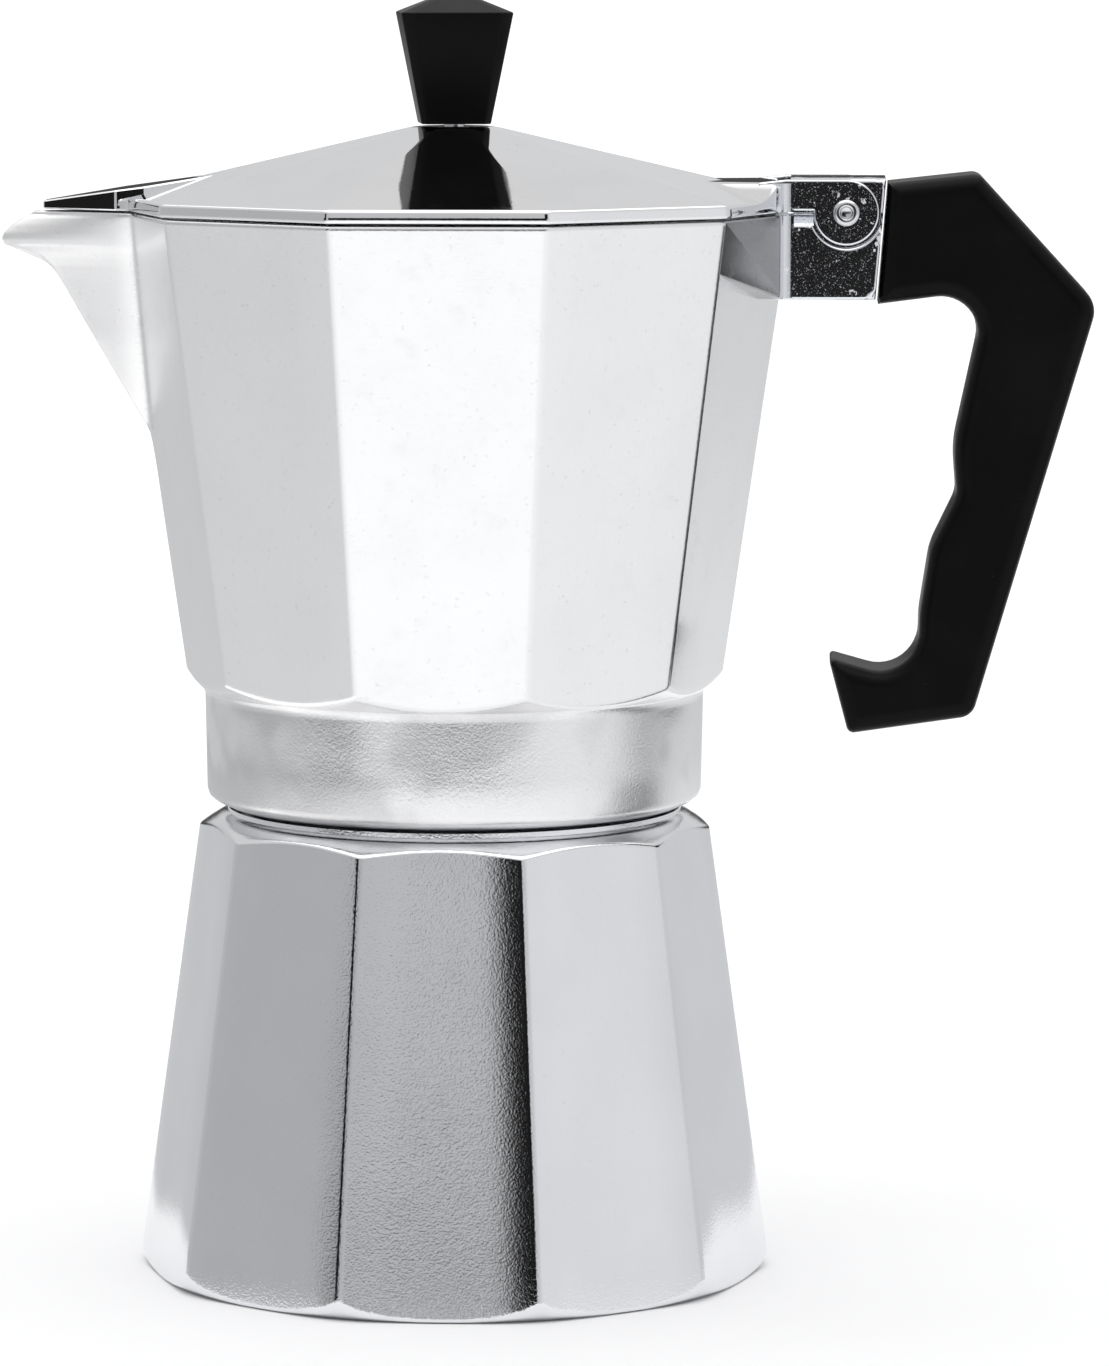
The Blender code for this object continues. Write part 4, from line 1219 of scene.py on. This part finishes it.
@dataclass
class Hinge:
    """The block behind the rim, with pockets for the lid's ears, and the tubular pin."""

    joint: dict[str, Any]
    low: float = 160.1
    high: float = 179.4
    rim: float = 173.7
    root: float = 49.3
    step: float = 54.7
    end_low: float = 68.35
    end_high: float = 70.0
    half: float = 11.0
    pocket_floor: float = 9.0
    ear_radius: float = 5.3
    pin: Profile = ((0.0, -10.6), (0.9, -10.6), (0.9, -11.6), (1.1, -11.9), (1.7, -11.9), (2.1, -11.6),
                    (2.1, -11.3), (1.5, -11.3), (1.5, 11.3), (2.1, 11.3), (2.1, 11.6), (1.7, 11.9),
                    (1.1, 11.9), (0.9, 11.6), (0.9, 10.6), (0.0, 10.6))

    def centre(self) -> tuple[float, float]:
        """The hinge axis in the side view, in millimetres."""
        return self.joint["pos_m"][0] / MM, self.joint["pos_m"][2] / MM

    def flare(self, side: int, low: float, high: float) -> bmesh.types.BMesh:
        """The hollow rounding between a shoulder and the block's side, between two heights."""
        start, corner, end = (53.05, 12.3), (53.5, 11.0), (55.2, 10.98)
        curve = [tuple(a * (1 - t) ** 2 + b * 2 * t * (1 - t) + c * t * t
                       for a, b, c in zip(start, corner, end)) for t in np.linspace(0.0, 1.0, 11)]
        outline = curve + [(55.0, 9.6), (51.0, 10.4)]
        return lofted([[(x, side * y, z) for x, y in outline] for z in (low, high)])

    def ledge(self, side: int) -> bmesh.types.BMesh:
        """The sloping ledge under the lid's arm, from the pocket's floor to the cheek's face."""
        section = [(self.half - 0.15, 172.05), (self.pocket_floor, 174.15),
                   (self.pocket_floor - 0.5, 172.0)]
        return lofted([[(x, side * y, z) for y, z in section] for x in (54.3, 58.35)])

    def build(self, finishes: Finishes) -> None:
        """Build the block's core, its two pocketed cheeks and the pin."""
        x, z = self.centre()
        slope = (self.end_high - self.end_low) / (self.high - self.low)
        end_mid = self.end_low + (z - self.low) * slope
        core = [(self.root, self.low), (self.end_low, self.low), (self.end_high, self.high),
                (self.step, self.high), (self.step, self.rim), (self.root, self.rim)]
        middle = pillow(core, -self.pocket_floor - 0.1, self.pocket_floor + 0.1, 0.45, 2.0, 3)
        swing = arc((x, z), self.ear_radius + 0.4, 360.0, 199.5, 28)
        cheek = [(self.root, self.low), (self.end_low, self.low), (end_mid, z)] + swing
        cheek += [(54.2, 172.2), (54.2, self.rim), (self.root, self.rim)]
        parts = [middle]
        for side in (-1, 1):
            low, high = sorted((side * (self.pocket_floor - 0.6), side * self.half))
            parts.append(pillow(cheek, low, high, 0.4, 2.0, 3))
            parts.append(self.flare(side, self.low + 0.3, self.rim - 0.1))
            parts.append(self.ledge(side))
        add_piece("hinge_block", joined(parts), finishes.hinge, Body.UPPER)
        place = Matrix.Translation((x * MM, 0, z * MM)) @ Matrix.Rotation(math.radians(-90), 4, "X")
        add_piece("tubular_pin", turned(self.pin, 64, 0.2, place), finishes.steel, Body.UPPER,
                  ["hinge_pin"])


@dataclass
class Lid:
    """The ten-sided lid with its cover over the spout and the arm that carries its ears."""

    hinge: Hinge
    low: float = 174.1
    corner: float = 55.8
    skirt: float = 176.1
    apex: float = 189.1
    flat: float = 187.6
    shell: float = 1.9
    arm_top: float = 178.9
    arm_end: float = 52.8
    ear_inner: float = 9.3
    beak_tip: float = 66.9
    beak_top: Profile = ((38.0, 179.6), (41.1, 179.2), (50.0, 177.8), (54.4, 177.4), (66.9, 175.45))
    beak_half: Profile = ((38.0, 4.4), (41.1, 5.4), (50.0, 8.8), (54.4, 8.7), (66.9, 1.9))
    beak_cap: Sequence[Point] = ((38.5, 4.6, 179.75), (50.0, 9.4, 177.95), (54.4, 9.4, 177.4),
                                 (66.9, 2.4, 175.45))
    beak_root: tuple[float, float] = (54.4, 9.3)
    beak_nose: float = 2.3
    arm_root: float = 53.2
    screw_hole: float = 2.2

    def outline(self, angle: np.ndarray) -> np.ndarray:
        """Distance from the axis to the lid's edge in each direction."""
        radius = side_radius(angle, np.full_like(angle, self.corner * INRADIUS), 0.3)
        across = np.radians(np.clip(angle - 180.0, -60.0, 60.0))
        x0, y0 = self.beak_root
        x1, y1 = self.beak_tip, self.beak_nose
        length = math.hypot(x1 - x0, y0 - y1)
        nx, ny = (y0 - y1) / length, (x1 - x0) / length
        sides = [(x1 * nx + y1 * ny) / np.maximum(nx * np.cos(across) + s * ny * np.sin(across), 0.12)
                 for s in (-1, 1)]
        front = self.beak_tip / np.maximum(np.cos(across), 0.1)
        beak = soft_min(soft_min(sides[0], sides[1], 1.0), front, 1.4)
        radius = soft_max(radius, np.where(np.abs(angle - 180.0) < 60.0, beak, 1.0), 1.2)
        turn = np.abs((angle + 180.0) % 360.0 - 180.0)
        corner = math.radians(SIDE_ANGLE)
        vx, vy = self.corner * math.cos(corner), self.corner * math.sin(corner)
        ax, ay = self.arm_root, self.hinge.half
        nx, ny = vy - ay, ax - vx
        facing = nx * np.cos(np.radians(turn)) + ny * np.sin(np.radians(turn))
        shoulder = np.where(turn < SIDE_ANGLE, (nx * ax + ny * ay) / np.maximum(facing, 1e-3), 0.0)
        radius = np.maximum(radius, shoulder)
        stop = self.arm_end / np.maximum(np.cos(np.radians(turn)), 0.1)
        return np.where(turn < 20.0, np.minimum(radius, stop), radius)

    def pyramid(self, x: np.ndarray, y: np.ndarray) -> np.ndarray:
        """Height of the ten sloping sides."""
        reach = None
        for i in range(SIDES):
            turn = math.radians(SIDE_ANGLE * (i + 0.5))
            side = x * math.cos(turn) + y * math.sin(turn)
            reach = side if reach is None else soft_max(reach, side, 0.22)
        slope = (self.apex - self.skirt) / self.corner
        return soft_min(self.apex - slope * reach / INRADIUS, np.full_like(reach, self.flat), 0.3)

    def beak(self, x: np.ndarray, y: np.ndarray) -> np.ndarray:
        """Height of the cover over the spout, far below the lid elsewhere."""
        out = -x
        top = np.interp(out, [p[0] for p in self.beak_top], [p[1] for p in self.beak_top])
        half = np.interp(out, [p[0] for p in self.beak_half], [p[1] for p in self.beak_half])
        fall = np.maximum(np.abs(y) - half, 0.0)
        return np.where(out > 36.0, top - 0.3 - fall * 2.0, 100.0)

    def arm(self, x: np.ndarray, y: np.ndarray) -> np.ndarray:
        """Height of the arm: a flat top whose hollow flanks run out to the skirt."""
        half = np.interp(x, (41.0, self.arm_root), (8.0, self.hinge.half))
        away = np.clip((np.abs(y) - half) / 15.0, 0.0, 1.0)
        flank = self.arm_top - 3.0 * (1.0 - (1.0 - away) ** 2.4)
        return np.where(x > 34.0, flank, 100.0)

    def top(self, x: np.ndarray, y: np.ndarray) -> np.ndarray:
        """Height of the lid's outside."""
        return soft_max(soft_max(self.pyramid(x, y), self.beak(x, y), 0.25), self.arm(x, y), 0.25)

    def cover(self) -> bpy.types.Mesh:
        """The lid without its ears, as one closed mesh with a hole for the knob's screw."""
        angles = side_angles([(164.0, 196.0, 0.25), (-37.0, 37.0, 0.75)])
        turn = np.radians(angles)[:, None]
        edge = self.outline(angles)[:, None]
        hole = self.screw_hole
        stations = np.concatenate([np.linspace(0, 0.12, 14), np.linspace(0.16, 0.62, 14),
                                   np.linspace(0.65, 1.0, 46)])
        out_r = hole + (edge - 0.55 - hole) * stations[None, :]
        out_z = self.top(out_r * np.cos(turn), out_r * np.sin(turn))
        brink = self.top((edge - 0.3) * np.cos(turn), (edge - 0.3) * np.sin(turn))
        rim_r = np.concatenate([edge - k for k in (0.36, 0.22, 0.15, 0.0, 0.08, 0.3, 1.5, 1.85)], axis=1)
        rim_z = np.concatenate([brink - 0.06, brink - 0.2, brink - 0.5] +
                               [np.full_like(edge, self.low + k) for k in (0.35, 0.1, 0.0, 0.0, 0.3)], axis=1)
        back = stations[::-1][None, :]
        in_r = hole + (edge - 1.9 - hole) * back
        x, y = in_r * np.cos(turn), in_r * np.sin(turn)
        under = soft_max(self.pyramid(x, y), self.beak(x, y), 0.25) - self.shell
        in_z = np.maximum(under, self.low + 0.45)
        radius = np.concatenate([out_r, rim_r, in_r], axis=1)
        height = np.concatenate([out_z, rim_z, in_z], axis=1)
        return loop_mesh(columns_from(angles, radius, height), True, 40.0)

    def beak_shell(self) -> bpy.types.Mesh:
        """The hollow cover over the spout, with upright sides."""
        shapes = []
        for inset, foot in ((0.0, self.low + 0.02), (self.shell, self.low - 2.0)):
            points = []
            for out, half, top in self.beak_cap:
                for side in (-1, 1):
                    x = -min(out, self.beak_tip - inset)
                    y = side * max(half - inset, 0.4)
                    points += [(x, y, top - inset), (x, y, foot)]
            bm = hull(points)
            if inset == 0:
                bevelled(bm, 0.22, 1, 20.0)
            shapes.append(joined([bm], 8.0))
        return subtract(shapes[0], shapes[1:], 8.0)

    def ears(self) -> bpy.types.Mesh:
        """The two ears that turn on the pin."""
        x, z = self.hinge.centre()
        radius = self.hinge.ear_radius
        base = math.degrees(math.asin(-0.3 / radius))
        outline = [(49.5, z + 0.3), (49.5, self.arm_top), (54.0, z + radius)]
        outline += arc((x, z), radius, 90.0, -180.0 + base, 40)
        bore = arc((x, z), 1.8, 0.0, 352.5, 47)
        parts = []
        for side in (-1, 1):
            low, high = sorted((side * self.ear_inner, side * self.hinge.half))
            ear = joined([pillow(outline, low, high, 0.3, 2.0, 3)])
            cut = subtract(ear, [joined([slab(bore, low - 1, high + 1)])])
            bm = bmesh.new()
            bm.from_mesh(cut)
            parts.append(bm)
            parts.append(self.hinge.flare(side, self.low + 0.1, self.arm_top - 0.1))
        return joined(parts)

    def build(self, finishes: Finishes) -> None:
        """Build the lid and its ears."""
        add_piece("lid_cover", self.cover(), finishes.lid, Body.COVER, ["lid"])
        add_piece("beak_cover", self.beak_shell(), finishes.lid, Body.COVER)
        add_piece("lid_ears", self.ears(), finishes.hinge, Body.COVER)


@dataclass
class Knob:
    """The square knob with cut corners."""

    turn: float = 7.0
    rings: Sequence[Point] = ((188.0, 11.26, 1.0), (206.0, 18.2, 2.0), (209.3, 2.4, 0.3))
    bore: Profile = ((0.0, 186.0), (3.4, 186.0), (3.4, 195.3), (0.0, 195.3))

    def build(self, finishes: Finishes) -> None:
        """Build the knob with soft edges and the bore for its insert."""
        layers = []
        for height, width, cut in self.rings:
            half = width / 2
            flat = half - cut
            corners = [(half, flat), (flat, half), (-flat, half), (-half, flat), (-half, -flat),
                       (-flat, -half), (flat, -half), (half, -flat)]
            layers.append([(x, y, height) for x, y in corners])
        mesh = joined([bevelled(lofted(layers), 0.5, 4, 12.0)])
        mesh.transform(Matrix.Rotation(math.radians(self.turn), 4, "Z"))
        mesh = subtract(mesh, [turned(self.bore, 48, 0.0)])
        add_piece("knob", mesh, finishes.phenolic, Body.COVER, ["lid_knob"])


@dataclass
class Handle:
    """The moulded handle with a hooked lower end."""

    half_width: float = 8.5
    edge: float = 2.4
    outline: Sequence[Point] = ((70.4, 178.7, 0), (84.9, 180.3, 2.2), (104.2, 159.2, 4.5), (84.6, 92.25, 3.0),
                                (64.5, 89.3, 1.2), (61.2, 101.7, 0.6), (75.9, 97.6, 6.5), (75.9, 108.5, 22.0),
                                (77.6, 119.5, 12.0), (81.8, 128.3, 5.0), (81.2, 136.0, 20.0),
                                (86.6, 161.5, 6.0), (68.85, 159.2, 0))

    def build(self, finishes: Finishes) -> None:
        """Build the handle."""
        shape = rounded_outline(self.outline, 12)
        mesh = joined([pillow(shape, -self.half_width, self.half_width, self.edge)], 50.0)
        add_piece("grip", mesh, finishes.phenolic, Body.UPPER, ["handle"])


# ---------------------------------------------------------------- studio
@dataclass(frozen=True)
class Panel:
    """A card in the surround: a stretch of azimuth (degrees) and of height with its own brightness."""

    start: float
    end: float
    softness: float
    low: float
    high: float
    tone: float

    def mask(self, turn: Value, z: Value) -> Value:
        """1 on the card and 0 away from it.

        Args:
            turn: azimuth, from 0 to 1 for a full turn.
            z: height of the direction, from -1 to 1.

        Returns:
            The mask.
        """
        across = turn.band((self.start - self.softness) / 360.0, self.start / 360.0)
        across = across * (1.0 - turn.band(self.end / 360.0, (self.end + self.softness) / 360.0))
        return across * z.band(self.low - 0.05, self.low) * (1.0 - z.band(self.high, self.high + 0.05))


@dataclass
class Studio:
    """A pale floor, a soft surround and the camera.

    The surround's brightness is level_ring near the horizon and low_ring below it, then upper and
    overhead higher up, with the panels in front; the camera itself sees the plain tone called seen.
    """

    camera_place: Point = (54.7, -1095.5, 223.1)
    camera_turn: tuple[float, float] = (83.414, 2.86)
    lens: float = 177.4
    shift: float = 0.0735
    floor_low: tuple[float, float] = (-92.0, -240.0)
    floor_high: tuple[float, float] = (115.0, 5000.0)
    level_ring: Profile = ((0.0, 0.66), (20.0, 0.66), (51.0, 0.67), (90.0, 0.70), (123.0, 0.61),
                           (160.0, 0.52), (195.0, 0.47), (238.0, 0.50), (267.0, 0.57), (285.0, 0.60),
                           (304.0, 0.64), (318.0, 0.76), (339.0, 0.82), (360.0, 0.70))
    low_ring: Profile = ((0.0, 0.80), (8.0, 0.02), (18.0, 0.02), (26.0, 0.76), (51.0, 0.86), (90.0, 0.76),
                         (123.0, 0.65), (160.0, 0.66), (188.0, 0.71), (203.0, 0.78), (218.0, 0.94),
                         (240.0, 1.05), (267.0, 1.18), (290.0, 1.05), (339.0, 0.98), (350.0, 0.90),
                         (360.0, 0.80))
    panels: Sequence[Panel] = (
        Panel(209.0, 226.0, 3.0, -0.06, 0.30, 0.012),
        Panel(202.0, 226.0, 2.0, -0.10, -0.02, 0.012),
        Panel(274.0, 296.0, 5.0, 0.00, 0.30, 0.012),
        Panel(254.0, 286.0, 4.0, -0.095, 0.00, 0.010),
        Panel(60.0, 120.0, 5.0, -0.02, 0.09, 0.07),
        Panel(150.0, 250.0, 20.0, -1.10, -0.46, 1.20))
    seen: float = 1.15
    upper: float = 0.70
    overhead: float = 2.0

    def ring(self, graph: Graph, turn: Value, bands: Profile) -> Value:
        """Brightness round the horizon, from (azimuth in degrees, value) pairs."""
        stops = [(a / 360.0, rgb(v * 0.975, v * 0.985, v)) for a, v in bands]
        return graph.add("ShaderNodeValToRGB", {"stops": stops}, {0: turn})

    def world(self) -> None:
        """Light everything from a bright surround with softly darker stretches."""
        world = bpy.data.worlds.new("studio")
        bpy.context.scene.world = world
        world.use_nodes = True
        graph = Graph(world.node_tree)
        place = graph.add("ShaderNodeTexCoord", output="Generated")
        x, y, z = graph.axes(place)
        turn = graph.add("ShaderNodeMath", {"operation": "ARCTAN2"}, {0: y, 1: x}) / math.tau
        turn = graph.add("ShaderNodeMath", {"operation": "WRAP"}, {0: turn, 1: 1.0, 2: 0.0})
        around = graph.colour_mix(z.band(-0.20, -0.13), self.ring(graph, turn, self.low_ring),
                                  self.ring(graph, turn, self.level_ring))
        for panel in self.panels:
            around = graph.colour_mix(panel.mask(turn, z), around, grey(panel.tone))
        upper = graph.colour_mix(z.band(0.30, 0.50), around, grey(self.upper))
        light = graph.colour_mix(z.band(0.66, 0.85), upper, grey(self.overhead))
        direct = graph.add("ShaderNodeLightPath", output="Is Camera Ray")
        light = graph.colour_mix(direct, light, grey(self.seen))
        graph.tree.links.new(light.socket, graph.tree.nodes["Background"].inputs["Color"])

    def floor(self, height: float) -> None:
        """Lay a pale matt floor at a height in metres."""
        x0, y0, x1, y1 = (v * MM for v in self.floor_low + self.floor_high)
        mesh = bpy.data.meshes.new("floor")
        mesh.from_pydata([(x0, y0, height), (x1, y0, height), (x1, y1, height), (x0, y1, height)], [],
                         [(0, 1, 2, 3)])
        made = bpy.data.materials.new("floor")
        made.use_nodes = True
        shader = made.node_tree.nodes["Principled BSDF"]
        shader.inputs["Base Color"].default_value = rgb(0.90, 0.90, 0.905)
        shader.inputs["Roughness"].default_value = 0.9
        shader.inputs["Specular IOR Level"].default_value = 0.1
        mesh.materials.append(made)
        piece = placed("floor", mesh)
        piece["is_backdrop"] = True

    def camera(self) -> None:
        """Place the camera in front, a little above the lid."""
        data = bpy.data.cameras.new("camera")
        data.lens = self.lens
        data.sensor_width = 36.0
        data.shift_x = self.shift
        data.clip_end = 50.0
        piece = placed("camera", data)
        piece.location = [v * MM for v in self.camera_place]
        tilt, turn = self.camera_turn
        piece.rotation_euler = (math.radians(tilt), 0.0, math.radians(turn))
        bpy.context.scene.camera = piece

    def build(self, floor_height: float) -> None:
        """Set the whole studio up over a floor height in metres."""
        self.world()
        self.floor(floor_height)
        self.camera()
        bpy.context.scene.view_settings.view_transform = "Standard"
        bpy.context.scene.view_settings.look = "None"


def plain(bounds: Any) -> list[list[float]]:
    """Bounds as plain lists."""
    return [[float(v) for v in corner] for corner in bounds]


def dress_remaining(frame: dict[str, Any], finishes: Finishes) -> None:
    """Give the small CAD pieces that are kept as they are their finishes."""
    kept = {"knob_insert": finishes.brass, "knob_washer": finishes.steel, "knob_screw": finishes.steel,
            "valve_washer": finishes.copper}
    for node, material in kept.items():
        mesh = frame["nodes"][node].data
        mesh.materials.clear()
        mesh.materials.append(material)
        log.info("%s keeps its CAD shape", node)


def check_fit(pairs: Sequence[tuple[str, str]]) -> None:
    """Log how far each piece's box is from that of the CAD node it stands for."""
    for piece, node in pairs:
        points = np.array([v.co for v in bpy.data.objects[piece].data.vertices])
        low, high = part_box(node)
        gap = max(np.abs(points.min(0) - low).max(), np.abs(points.max(0) - high).max()) / MM
        log.info("%s is within %.2f mm of %s", piece, gap, node)


def main() -> None:
    """Build the pot, its studio and its camera."""
    logging.basicConfig(level=logging.INFO, format="%(name)s: %(message)s")
    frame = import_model()
    before = plain(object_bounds())
    joints = {joint["name"]: joint for joint in frame["joints"]}
    finishes = Finishes()
    hinge = Hinge(joints["lid_hinge"])
    valve = Valve(joints["valve_lift"])
    Boiler().build(finishes, valve)
    valve.build(finishes)
    Funnel().build(finishes)
    Seal().build(finishes)
    Collector().build(finishes, hinge)
    Column().build(finishes)
    hinge.build(finishes)
    Lid(hinge).build(finishes)
    Knob().build(finishes)
    Handle().build(finishes)
    dress_remaining(frame, finishes)
    check_fit([("gasket_ring", "gasket"), ("plate", "filter_plate"), ("tube", "coffee_column"),
               ("knob", "lid_knob")])
    Studio().build(before[0][2])


if __name__ == "__main__":
    main()
